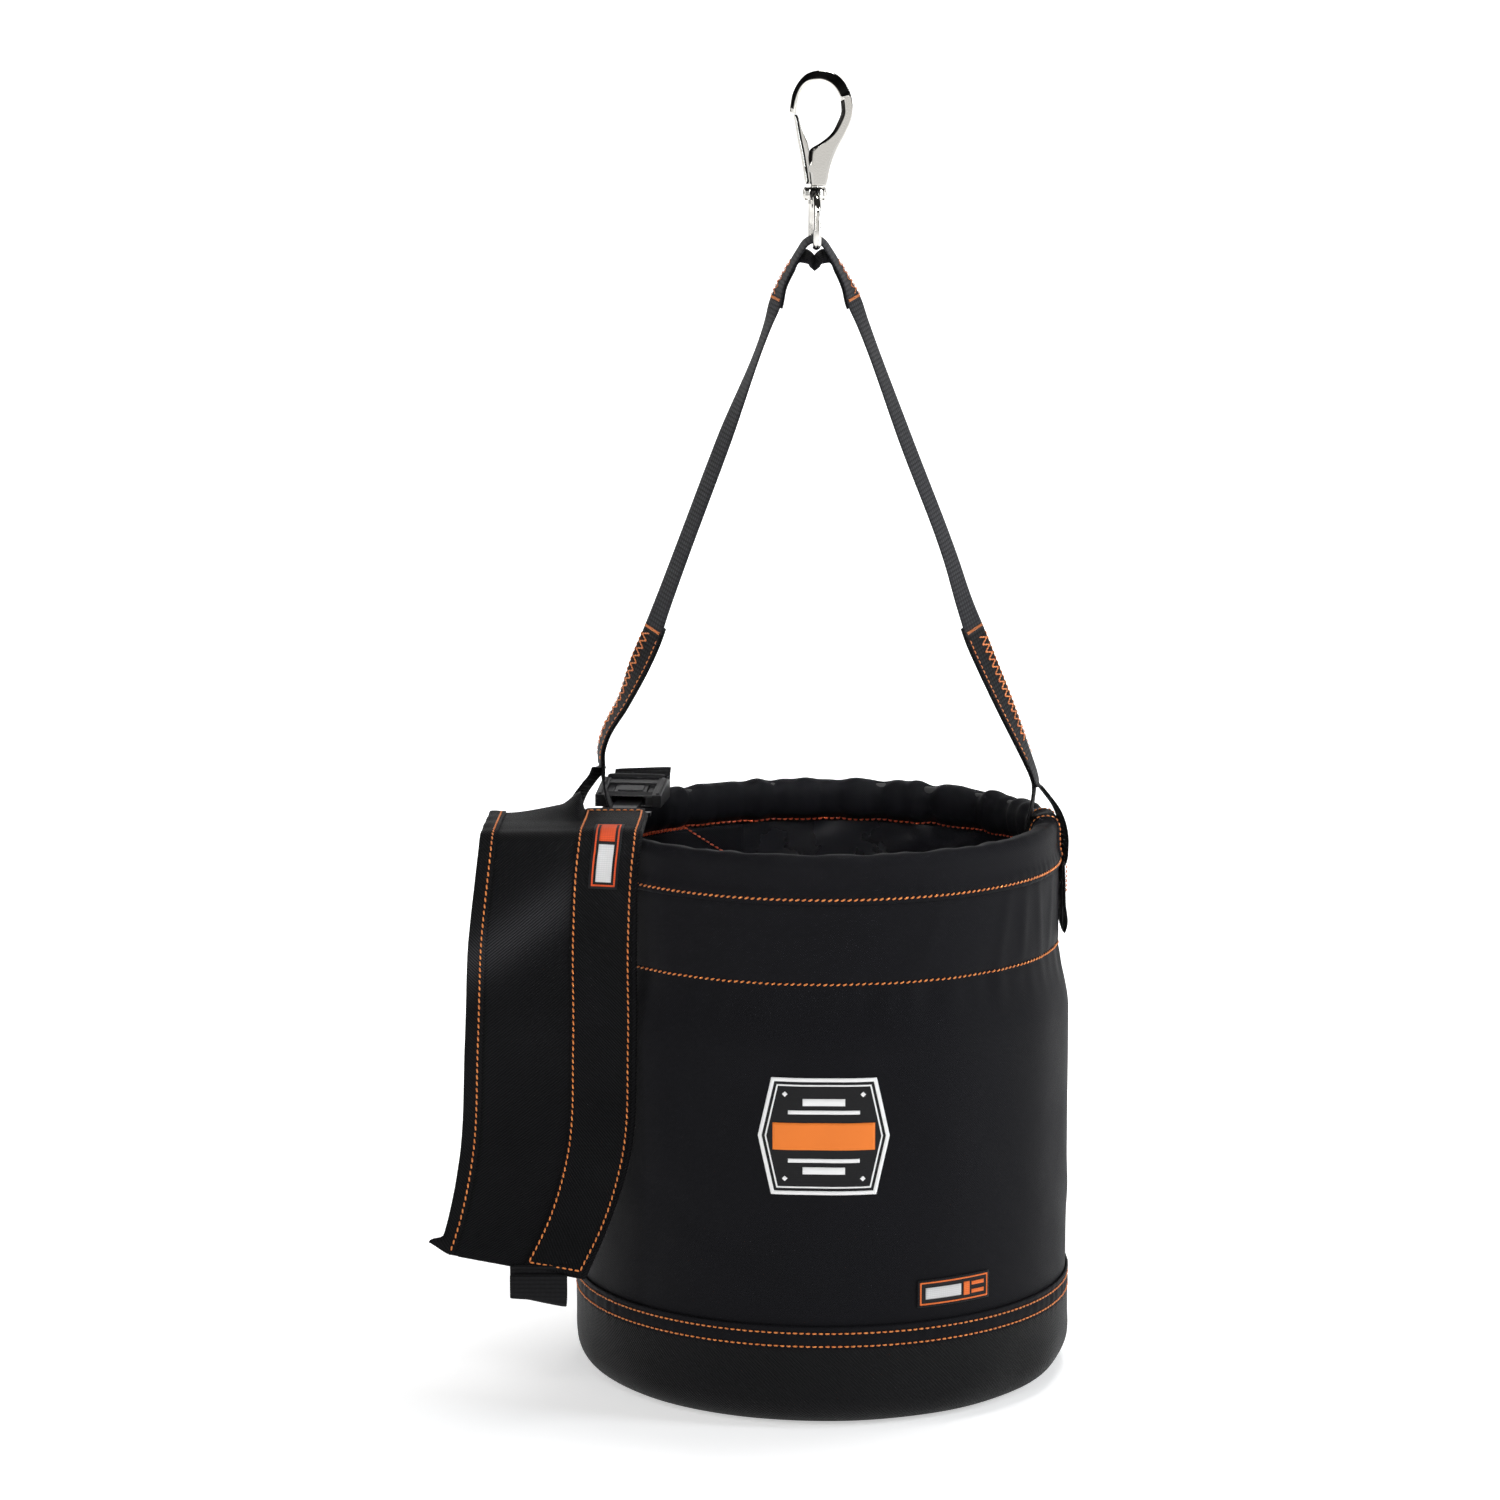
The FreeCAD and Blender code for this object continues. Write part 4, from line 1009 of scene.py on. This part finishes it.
def sew_cover(name, along, across, lift, **kind):
    """Stitches on the cover, at shares of its length and of its width."""
    line = cover_point(along, across, lift)
    on_cover(stitches(name, line, cover_normal(along, across), ORANGE, **kind))


def make_band(along):
    """Band sewn down the cover: it starts round the buckle's bar and ends at the cover's foot."""
    u = (np.sin(np.linspace(-1, 1, 15) * math.pi / 2) + 1) / 2
    edge = 0.00075 * np.sqrt(1 - np.abs(2 * u - 1) ** 10)
    ring = np.concatenate([np.stack([u, edge], 1), np.stack([u, -edge], 1)[-2:0:-1]])[::-1]
    a, w = np.meshgrid(along * BAND_END, ring[:, 0] * BAND_WIDE, indexing="ij")
    points = cover_point(a, band_share(a, w), BAND_LIFT + ring[:, 1])
    wrap = [(-0.0155, 0.3636), (-0.0150, 0.3650), (-0.0175, 0.3657)]
    lead = [xyz(points[0, :, 0], y, z + (points[0, :, 2] - wrap[-1][1])) for y, z in wrap]
    points = np.concatenate([np.stack(lead), points])
    girth = lengths(np.vstack([ring, ring[:1]]) * [BAND_WIDE, 1])
    run = np.concatenate([[-0.012, -0.0105, -0.008], along * BAND_END * COVER_LONG])
    band = surface("cover_band", points, grid_uv(run, girth), COVER_NYLON, closed=True, caps=True)
    on_cover(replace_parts(band, "cover_top_strip", "cover_strip"))
    lift, inward, high, low = BAND_LIFT + 0.00085, 0.0020, 0.012, 0.989
    down = np.linspace(high, low, 300)
    for name, u in (("left", inward), ("right", BAND_WIDE - inward)):
        sew_cover(f"stitch_band_{name}", down, band_share(down, u), lift, **CLOSE)
    across = np.linspace(inward, BAND_WIDE - inward, 20)
    for name, level in (("top", high), ("foot", low)):
        at = level + 0 * across
        sew_cover(f"stitch_band_{name}", at, band_share(at, across), lift)


def band_panel(name, low, high, start, end, rise, finish):
    """Patch of the cover's label: shares of the band's length, and distances across it."""
    a, w = np.meshgrid(np.linspace(low, high, 30), np.linspace(start, end, 8), indexing="ij")
    points = cover_point(a, band_share(a, w), 0.0039 + rise)
    piece = surface(f"cover_label_{name}", points, np.stack([w, a * COVER_LONG], axis=-1), finish)
    on_cover(thicken(piece, PANEL))
    return piece


def make_cover_label():
    """Woven label on the band: a border, a red tag and a pale block."""
    low, high, start, end = 0.163, 0.304, 0.0102, 0.0282
    gap, line, rim = 0.0016 / COVER_LONG, 0.0010 / COVER_LONG, 0.0010
    top, foot, left, right = low + gap, high - gap, start + 0.0016, end - 0.0016
    middle, inner = low + (high - low) * 0.44, (start + 0.0042, end - 0.0042)
    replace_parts(band_panel("ground", low, high, start, end, 0.0, BLACK_WOVEN), "cover_label")
    band_panel("left", top, foot, left, left + rim, 0.0002, RED_WOVEN)
    band_panel("right", top, foot, right - rim, right, 0.0002, RED_WOVEN)
    band_panel("head", top, top + line, left, right, 0.0002, RED_WOVEN)
    band_panel("foot", foot - line, foot, left, right, 0.0002, RED_WOVEN)
    band_panel("tag", low + 2.6 * gap, middle, *inner, 0.0003, RED_WOVEN)
    band_panel("block", middle + gap, high - 2.6 * gap, *inner, 0.0003, GREY_WOVEN)


def make_cover_end():
    """Folded end of the band's webbing below the cover."""
    low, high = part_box("cover_end_loop")
    x, back, front, foot = (low.x + high.x) / 2, high.y - 0.0011, low.y + 0.0011, low.z + 0.0035
    side = [(back, 0.0990), (back, 0.0900), (back, foot + 0.004), ((back + front) / 2 - 0.0006, foot),
            (front, foot + 0.004), (front, 0.0865), (front + 0.0004, 0.0935)]
    middle = through([(x, y, z) for y, z in side], 0.0012)
    end = ribbon("cover_end_webbing", middle, (0.0360, 0, -0.0075), DARK_WEBBING, wide=END_WEB)
    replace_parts(end, "cover_end_loop")
    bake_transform(end)


# ---- buckle webbing and tab

BUCKLE_AT = (-0.1254, 0.0166)
BUCKLE_TURN = math.radians(-7)
FAR_BAR = 0.042                            # far face of the bar that the webbing runs round


def beside_buckle(y, z, x=0.0):
    """Place in the shared frame of a point in the buckle's own frame."""
    return (BUCKLE_AT[0] + x * math.cos(BUCKLE_TURN) - y * math.sin(BUCKLE_TURN),
            BUCKLE_AT[1] + x * math.sin(BUCKLE_TURN) + y * math.cos(BUCKLE_TURN), z)


def make_buckle_webbing():
    """Webbing from under the buckle round its far bar, and the free tail behind it."""
    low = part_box("buckle_body")[0].z - 0.0011
    anchor = [(0.008, low), (0.024, low), (0.038, low), (FAR_BAR + 0.0026, low + 0.0012),
              (FAR_BAR + 0.0050, 0.3680), (FAR_BAR + 0.0026, 0.3748), (FAR_BAR - 0.0020, 0.3762),
              (0.0362, 0.3756), (0.0348, 0.3725), (0.0345, 0.3690)]
    tail = [(FAR_BAR + y, z) for y, z in ((0.0062, 0.3625), (0.0078, 0.3660), (0.0094, 0.3700),
                                          (0.0116, 0.3740), (0.0150, 0.3778))]
    for name, node, path, x, turn, tilt, held in (
            ("anchor_webbing", "buckle_anchor_webbing", anchor, 0.0, BUCKLE_TURN, 0.0, "folded"),
            ("tail_webbing", "buckle_webbing_tail", tail, 0.0016, BUCKLE_TURN - 0.1, 0.03, "stretched")):
        middle = through([beside_buckle(y, z, x) for y, z in path], 0.0014)
        across = (math.cos(turn), math.sin(turn), tilt)
        piece = ribbon(name, middle, across, DARK_WEBBING, wide=BUCKLE_WEB)
        settle(piece, "bucket", "webbing", node)


def make_tab():
    """Doubled webbing that hangs from the wall below the right foot."""
    low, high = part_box("anchor_tab")
    x, foot, top, bend, stitched = (low.x + high.x) / 2, low.z + 0.0006, 0.3315, 0.3050, 0.0165
    side = [(-0.0012, top), (-0.0012, bend), (-0.0004, foot + 0.0025), (0.0004, foot),
            (0.0014, foot + 0.0025), (0.0007, bend), (0.0002, 0.3215), (-0.0002, top)]
    middle = through([(x + across, 0, z) for across, z in side], 0.0014)
    tab = ribbon("tab_webbing", middle, (0, -1, 0), DARK_WEBBING, wide=BAND_WIDE)
    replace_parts(tab, "anchor_tab")
    pieces = [tab]
    z = np.linspace(0.330, 0.312, 20)
    for name, y in (("front", -stitched), ("back", stitched)):
        line, out = xyz(x + 0.0012, y, z), xyz(1.0, 0, 0 * z)
        pieces.append(stitches(f"stitch_tab_{name}", line, out, ORANGE, pitch=0.003))
    for piece in pieces:
        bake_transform(piece)


# ---- hard parts

def dress(names, finish, bevel=0.0):
    for name in names:
        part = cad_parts[name]
        part.data.materials.clear()
        part.data.materials.append(finish)
        if bevel:
            edge = part.modifiers.new("edges", "BEVEL")
            edge.width, edge.segments, edge.limit_method = bevel, 2, "ANGLE"
            edge.angle_limit = math.radians(35)


# Stations of the hook from its nose round to its neck: outer x and z, inner x and z, in millimetres.
HOOK = [(-22.4, 805.2, -17.8, 804.4), (-20.9, 815, -17.0, 811), (-17.6, 822.6, -14.6, 818),
        (-12.0, 828.9, -10, 823.2), (-3.0, 831.5, -3.5, 825.2), (8.2, 828.4, 4, 822.2),
        (14.8, 820.2, 8.6, 816),
        (17.4, 811.2, 10.2, 809), (16.2, 799.5, 8.6, 800.5), (13.9, 794, 4.4, 792.6), (11.4, 788.5, -2, 787),
        (8.9, 783.5, -9.4, 782), (6.6, 778.5, -10.4, 775), (3.2, 768, -9.6, 766), (1.2, 759.6, -8.8, 759.6)]


# Half sections of the hook from its inner to its outer edge: place across, and share of the thickness.
ROUND = [(-1, 0), (-0.93, 0.5), (-0.6, 0.9), (-0.15, 1.0), (0.8, 0.45), (0.97, 0.22), (1, 0)]
SLOPED = [(-1, 0), (-0.98, 0.6), (-0.88, 0.97), (-0.72, 1.0), (0.86, 0.36), (0.97, 0.2), (1, 0)]
FLAT = [(-1, 0), (-1, 0.2), (-1, 1.0), (0.9, 1.0), (0.97, 0.9), (1, 0.6), (1, 0)]


def make_hook():
    """Cast hook: a rounded nose, a bow that slopes outwards, and a broad neck with a bevelled inner edge."""
    rows = through(np.array(HOOK) / 1000, 0.0011, space=2)
    outer, inner = rows[:, None, :2], rows[:, None, 2:]
    gone = np.linspace(0, 1, len(rows))
    neck = ease(gone, 0.495, 0.515)[:, None, None]
    bow = ease(gone, 0.17, 0.29)[:, None, None]
    section = np.array(ROUND) * (1 - bow) + np.array(SLOPED) * bow
    section = section * (1 - neck) + np.array(FLAT) * neck
    bevel = 0.0026 - 0.0016 * ease(gone, 0.83, 0.88)
    wide = np.linalg.norm(rows[:, :2] - rows[:, 2:], axis=1)
    section[:, 2, 0] += neck[:, 0, 0] * np.minimum(2 * bevel / wide, 0.9)
    sides, fine = len(ROUND) - 1, 7        # straight sides of a half section, and faces on each
    at = np.linspace(0, sides, sides * fine + 1)
    low = np.minimum(at.astype(int), sides - 1)
    half = section[:, low] + (section[:, low + 1] - section[:, low]) * (at - low)[:, None]
    ring = np.concatenate([half[:, ::-1], half[:, 1:-1] * [1, -1]], axis=1)
    flat = inner + (outer - inner) * (ring[..., :1] + 1) / 2
    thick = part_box("hook_body")[1].y * (0.75 + 0.25 * ease(gone, 0.0, 0.05))[:, None]
    points = xyz(flat[..., 0], ring[..., 1] * thick, flat[..., 1])
    uv = grid_uv(gone * 0.16, np.linspace(0, 0.03, ring.shape[1] + 1))
    hook = surface("hook_casting", points, uv, NICKEL, closed=True, caps=True)
    # Painted dark reflection: the outward-sloping faces of the nose and bow, and the bevel on the neck's
    # inner edge, get the near-black steel.
    dark = np.zeros((len(rows) - 1, ring.shape[1]), bool)
    for begin, end, side in ((0.02, 0.505, 3), (0.515, 1.0, 1)):
        picked = (gone[:-1] > begin) & (gone[:-1] < end)
        for face in range(side * fine, (side + 1) * fine):
            dark[picked, sides * fine - 1 - face] = dark[picked, sides * fine + face] = True
    repaint(hook, PAINTED_DARK_STEEL, dark)
    settle(hook, "hook", "steel", "hook_body")


# Levels of the gate, in millimetres: height, left edge, groove, right edge.
GATE = [(760.9, -11.9, -10.9, -9.6), (762.2, -12.6, -10.5, -8.9), (766.0, -13.2, -10.9, -9.0),
        (772.0, -14.2, -11.7, -9.4), (778.0, -15.2, -12.7, -9.8), (783.0, -16.2, -13.6, -9.8),
        (786.5, -16.9, -14.4, -10.4), (790.5, -17.6, -15.2, -12.3), (796.0, -18.5, -16.2, -14.6),
        (802.0, -19.6, -17.4, -16.3), (804.0, -20.0, -18.2, -17.4)]


def make_gate():
    """Gate with a rounded spine, a groove beside it and a flat cheek that meets the neck."""
    z, left, groove, right = through(np.array(GATE) / 1000, 0.0009, space=1).T[..., None]
    deep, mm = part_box("hook_body")[1].y * 0.94, 0.001
    side = [(left, 0), (left + 0.2 * mm, 0.55), (left + 0.8 * mm, 0.92), ((left + groove) / 2, 1.0),
            (groove - 0.7 * mm, 0.95), (groove, 0.35), (groove + 0.6 * mm, 0.78), (groove + 0.9 * mm, 0.8),
            (right - 0.3 * mm, 0.8), (right, 0.7), (right, 0)]
    across = np.hstack([x for x, _ in side])
    depth = np.array([y for _, y in side]) * deep
    x = np.hstack([across[:, ::-1], across[:, 1:-1]])
    points = xyz(x, np.concatenate([depth[::-1], -depth[1:-1]]), z)
    gate = surface("gate_plate", points, grid_uv(z[:, 0], np.linspace(0, 0.02, x.shape[1] + 1)), NICKEL,
                   closed=True, caps=True)
    dark = np.zeros((len(z) - 1, x.shape[1]), bool)
    in_groove = [4, 5, 14, 15]             # faces on both sides of the groove, front and back
    # Painted shade: the faces in the groove get the near-black steel.
    dark[:, in_groove] = True
    repaint(gate, PAINTED_DARK_STEEL, dark)
    settle(gate, "gate", "steel", "gate_lever")


def ball(name, centre, radii, finish):
    fall = np.linspace(0, math.pi, 14)[1:-1, None]
    turn = np.linspace(2 * math.pi, 0, 24, endpoint=False)
    shape = around(np.sin(fall), turn, np.cos(fall))
    uv = grid_uv(fall[:, 0] * 0.003, np.linspace(0, 0.01, 25))
    settle(surface(name, shape * radii + centre, uv, finish, closed=True, caps=True), "eye", "steel")


def make_eye():
    """Stout wire round the eye's stirrup, the lugs of its collar, and dark balls painted as shade in the
    collar's recesses.
    """
    low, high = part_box("swivel_eye")
    reach, foot, turn, wire = (high.y - low.y) / 2 - 0.0024, low.z + 0.0021, math.radians(5.6), 0.0024
    half = [(0.0060, 0.7540), (0.0115, 0.7510), (0.0142, 0.7465), (reach, 0.7400), (reach, foot + 0.0042),
            (reach - 0.0014, foot + 0.0013), (reach - 0.0044, foot), (0.0060, foot)]
    path = half + [(-y, z) for y, z in half[::-1]]
    middle = through([(CROWN_X - y * math.sin(turn), y * math.cos(turn), z) for y, z in path], 0.0011)
    way = unit(np.gradient(middle, axis=0))
    side = np.tile([math.cos(turn), math.sin(turn), 0], (len(middle), 1))
    out = np.cross(way, side)
    angle = np.linspace(0, 2 * math.pi, 20, endpoint=False)[None, :, None]
    points = middle[:, None] + wire * (side[:, None] * np.cos(angle) + out[:, None] * np.sin(angle))
    uv = grid_uv(lengths(middle), np.linspace(0, 0.015, 21))
    settle(surface("eye_wire", points, uv, NICKEL, closed=True, caps=True), "eye", "steel")
    # The front and back balls are painted shade: near-black steel set where the collar's recesses look dark.
    lug, painted_shade_radii = (0.0022, 0.0034, 0.0044), (0.0036, 0.0034, 0.0044)
    for name, x, y, radii, finish in (
            ("left", -0.0056, 0.0, lug, NICKEL), ("right", 0.0056, 0.0, lug, NICKEL),
            ("front", 0.0, -0.0052, painted_shade_radii, PAINTED_DARK_STEEL), ("back", 0.0, 0.0052, painted_shade_radii, PAINTED_DARK_STEEL)):
        ball(f"collar_{name}", (CROWN_X + x, y, 0.7548), radii, finish)


def roof(y):
    """Height of the buckle's face, which rises from the socket's mouth to the far bar."""
    return 0.3698 + 0.15 * y


def blocks(name, parts, finish):
    """Six-sided blocks in the buckle's frame: x, x, y, y, foot, and the top at each y."""
    points, faces = [], []
    for x0, x1, y0, y1, foot, top0, top1 in parts:
        n = len(points)
        for x, y, z in ((x0, y0, foot), (x1, y0, foot), (x1, y1, foot), (x0, y1, foot),
                        (x0, y0, top0), (x1, y0, top0), (x1, y1, top1), (x0, y1, top1)):
            points.append(beside_buckle(y, z, x))
        faces += [[n + k for k in face] for face in ((3, 2, 1, 0), (4, 5, 6, 7), (0, 1, 5, 4), (1, 2, 6, 5),
                                                     (2, 3, 7, 6), (3, 0, 4, 7))]
    uvs = [points[k][:2] for face in faces for k in face]
    piece = build(name, points, faces, uvs, finish)
    piece.data.shade_flat()
    edge = piece.modifiers.new("edges", "BEVEL")
    edge.width, edge.segments = 0.0004, 2
    return piece


def make_buckle():
    """Socket half with a recessed window between two rails, and the release button in the window."""
    low, wide, inner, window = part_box("buckle_body")[0].z, 0.0215, 0.011, 0.0155
    end, far = 0.0325, FAR_BAR
    parts = [(-wide, wide, 0, end, low, low + 0.0012, low + 0.0012),
             (-window, window, 0, 0.0062, low + 0.0066, roof(0) - 0.0008, roof(0.0062)),
             (-window, window, 0.0245, end, low + 0.0066, roof(0.0245), roof(end)),
             (-window, window, 0.0305, end, low, roof(0.0305), roof(end)),
             (-wide, wide, 0.0375, far, low, 0.3735, 0.3725)]
    for sign in (-1, 1):
        ends = lambda a, b: tuple(sorted((sign * a, sign * b)))
        parts += [(*ends(inner, window + 0.001), 0.0002, end, low, roof(0) - 0.0016, roof(end) - 0.0016),
                  (*ends(window, wide), -0.0004, end + 0.001, low, roof(0) - 0.0004, roof(end) + 0.0005),
                  (*ends(0.0178, 0.0199), 0.0012, end, roof(0), roof(0) + 0.0007, roof(end) + 0.0013),
                  (*ends(0.0198, wide), end, far, low, roof(end), 0.3730)]
    body = blocks("buckle_socket", parts, BUCKLE)
    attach(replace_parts(body, "buckle_body"), "bucket")
    cap = [(-0.0106, 0.0106, 0.0074, 0.0236, 0.3682, roof(0.0074) - 0.0010, roof(0.0236) - 0.0010),
           (-0.0082, 0.0082, 0.0105, 0.0205, 0.3690, roof(0.0105) - 0.0003, roof(0.0205) - 0.0003)]
    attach(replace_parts(blocks("button_cap", cap, BUCKLE), "release_button"), "button")


def make_springs():
    """Flattened coil each side of the tongue, under the edges of the release button."""
    low, high = (corner.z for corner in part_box("button_springs"))
    turn, wire = np.linspace(0, 8 * math.pi, 160), 0.0003
    z = np.linspace(low + 0.0002, high - 0.0002, len(turn))
    for number, x in enumerate((-0.0102, 0.0102)):
        place = xyz(*beside_buckle(0.0155 + 0.0050 * np.sin(turn), z, x + 0.00025 * np.cos(turn)))
        coil = ribbon(f"button_spring_{number + 1}", place, (0, 0, 1), SPRING, wide=wire, thick=wire,
                      edge=2.0)
        settle(coil, "bucket", "spring_steel", "button_springs")
        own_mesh(coil)


def dress_hard_parts():
    dress(["swivel_eye", "swivel_stud", "gate_pin"], NICKEL)
    dress(["gate_spring"], SPRING)
    dress(["buckle_tongue"], BUCKLE, 0.0004)
    dress(["rim_hoop", "base_stiffener"], HIDDEN_PLASTIC)


# ---- floor, light and camera

def make_floor():
    """Pale floor that curves up to a backdrop far behind, lit up away from the bucket."""
    profile = [(-24.0, 0), (-12.0, 0), (0.0, 0), (4.0, 0), (6.5, 0.1), (7.8, 1.2), (8.2, 4.0)]
    rows = through(profile, 0.25, space=2)
    x = np.linspace(-24, 24, 49)
    points = xyz(x, rows[:, :1], rows[:, 1:] - 0.0001)
    mat, shader = plain("pale_floor", 0.9, specular=0.1)
    tone = blend_colours(mat, noise(mat, 3.0), (0.87, 0.87, 0.87), (0.90, 0.90, 0.90))
    mat.node_tree.links.new(tone, shader.inputs["Base Color"])
    where = add(mat, "TexCoord").outputs["Object"]
    away = add(mat, "VectorMath", {0: where}, operation="LENGTH").outputs["Value"]
    glow = add(mat, "MapRange", {"Value": away, 1: 0.30, 2: 1.1, 3: 0.50, 4: 0.88})
    mat.node_tree.links.new(glow.outputs[0], shader.inputs["Emission Strength"])
    shader.inputs["Emission Color"].default_value = (1, 1, 1, 1)
    floor = surface("floor", points, grid_uv(rows[:, 0], x), mat)


def make_world():
    """Studio surround: a pale card behind the camera, black beside and above it, a soft glow overhead."""
    world = bpy.data.worlds.new("studio")
    bpy.context.scene.world = world
    world.use_nodes = True
    where = add(world, "TexCoord").outputs["Generated"]
    parts = add(world, "SeparateXYZ", {0: where})
    front = add(world, "MapRange", {"Value": parts.outputs[1], 1: -0.72, 2: -0.84}).outputs[0]
    low = add(world, "MapRange", {"Value": parts.outputs[2], 1: 0.34, 2: 0.24}).outputs[0]
    above = add(world, "MapRange", {"Value": parts.outputs[2], 1: 0.95, 2: 1.0, 3: 0.0, 4: 0.3}).outputs[0]
    card = maths(world, "MULTIPLY_ADD", maths(world, "MULTIPLY", front, low), 0.82, 0.035)
    total = maths(world, "ADD", card, above)
    colour, strength = world.node_tree.nodes["Background"].inputs[:2]
    colour.default_value = (1.0, 0.985, 0.965, 1)
    world.node_tree.links.new(total, strength)


def area_light(name, place, aim, size, power, colour=(1, 1, 1)):
    data = bpy.data.lights.new(name, "AREA")
    data.shape, data.size, data.size_y = "RECTANGLE", size[0], size[1]
    data.energy, data.color = power, colour
    lamp = bpy.data.objects.new(name, data)
    bpy.context.scene.collection.objects.link(lamp)
    lamp.location = place
    lamp.rotation_euler = (Vector(aim) - Vector(place)).to_track_quat("-Z", "Y").to_euler()
    return data


def make_lights():
    area_light("key_right", (2.4, -0.7, 1.1), (0, 0, 0.2), (0.6, 2.0), 38, (0.92, 0.96, 1.0))
    area_light("fill_left", (-2.2, -1.6, 1.5), (0, 0, 0.2), (0.5, 1.8), 16)
    area_light("overhead", (0.4, 0.5, 2.9), (0, 0, 0.2), (1.1, 0.8), 40)
    inside = area_light("mouth", (0.05, -1.5, 1.45), (0.02, 0.15, 0.335), (0.30, 0.10), 0.18)
    inside.spread = math.radians(14)
    area_light("front", (-0.3, -3.4, 2.7), (0, 0, 0.3), (1.6, 0.5), 30)
    area_light("backdrop", (0, 3.0, 3.4), (0, 6.5, 0.6), (5.0, 1.5), 70)


def make_camera():
    data = bpy.data.cameras.new("camera")
    data.sensor_width, data.lens = 36.0, 108.53
    camera = bpy.data.objects.new("camera", data)
    bpy.context.scene.collection.objects.link(camera)
    camera.location = (-0.0468, -2.8575, 0.85195)
    camera.rotation_euler = (math.radians(90 - 8.961), 0, 0)
    data.clip_start, data.clip_end = 0.1, 40
    bpy.context.scene.camera = camera


make_camera()
make_floor()
make_world()
make_lights()
make_wall()
make_hem()
make_lining()
make_boot()
make_bottom()
make_shell_stitches()
make_back_seam()
make_saddle(-1, "left")
make_saddle(1, "right")
make_inner_patch()
make_badge()
make_front_label()
make_handle()
make_cover()
make_buckle_webbing()
make_tab()
make_buckle()
make_hook()
make_gate()
make_eye()
make_springs()
dress_hard_parts()
bpy.context.scene.view_settings.view_transform = "Standard"
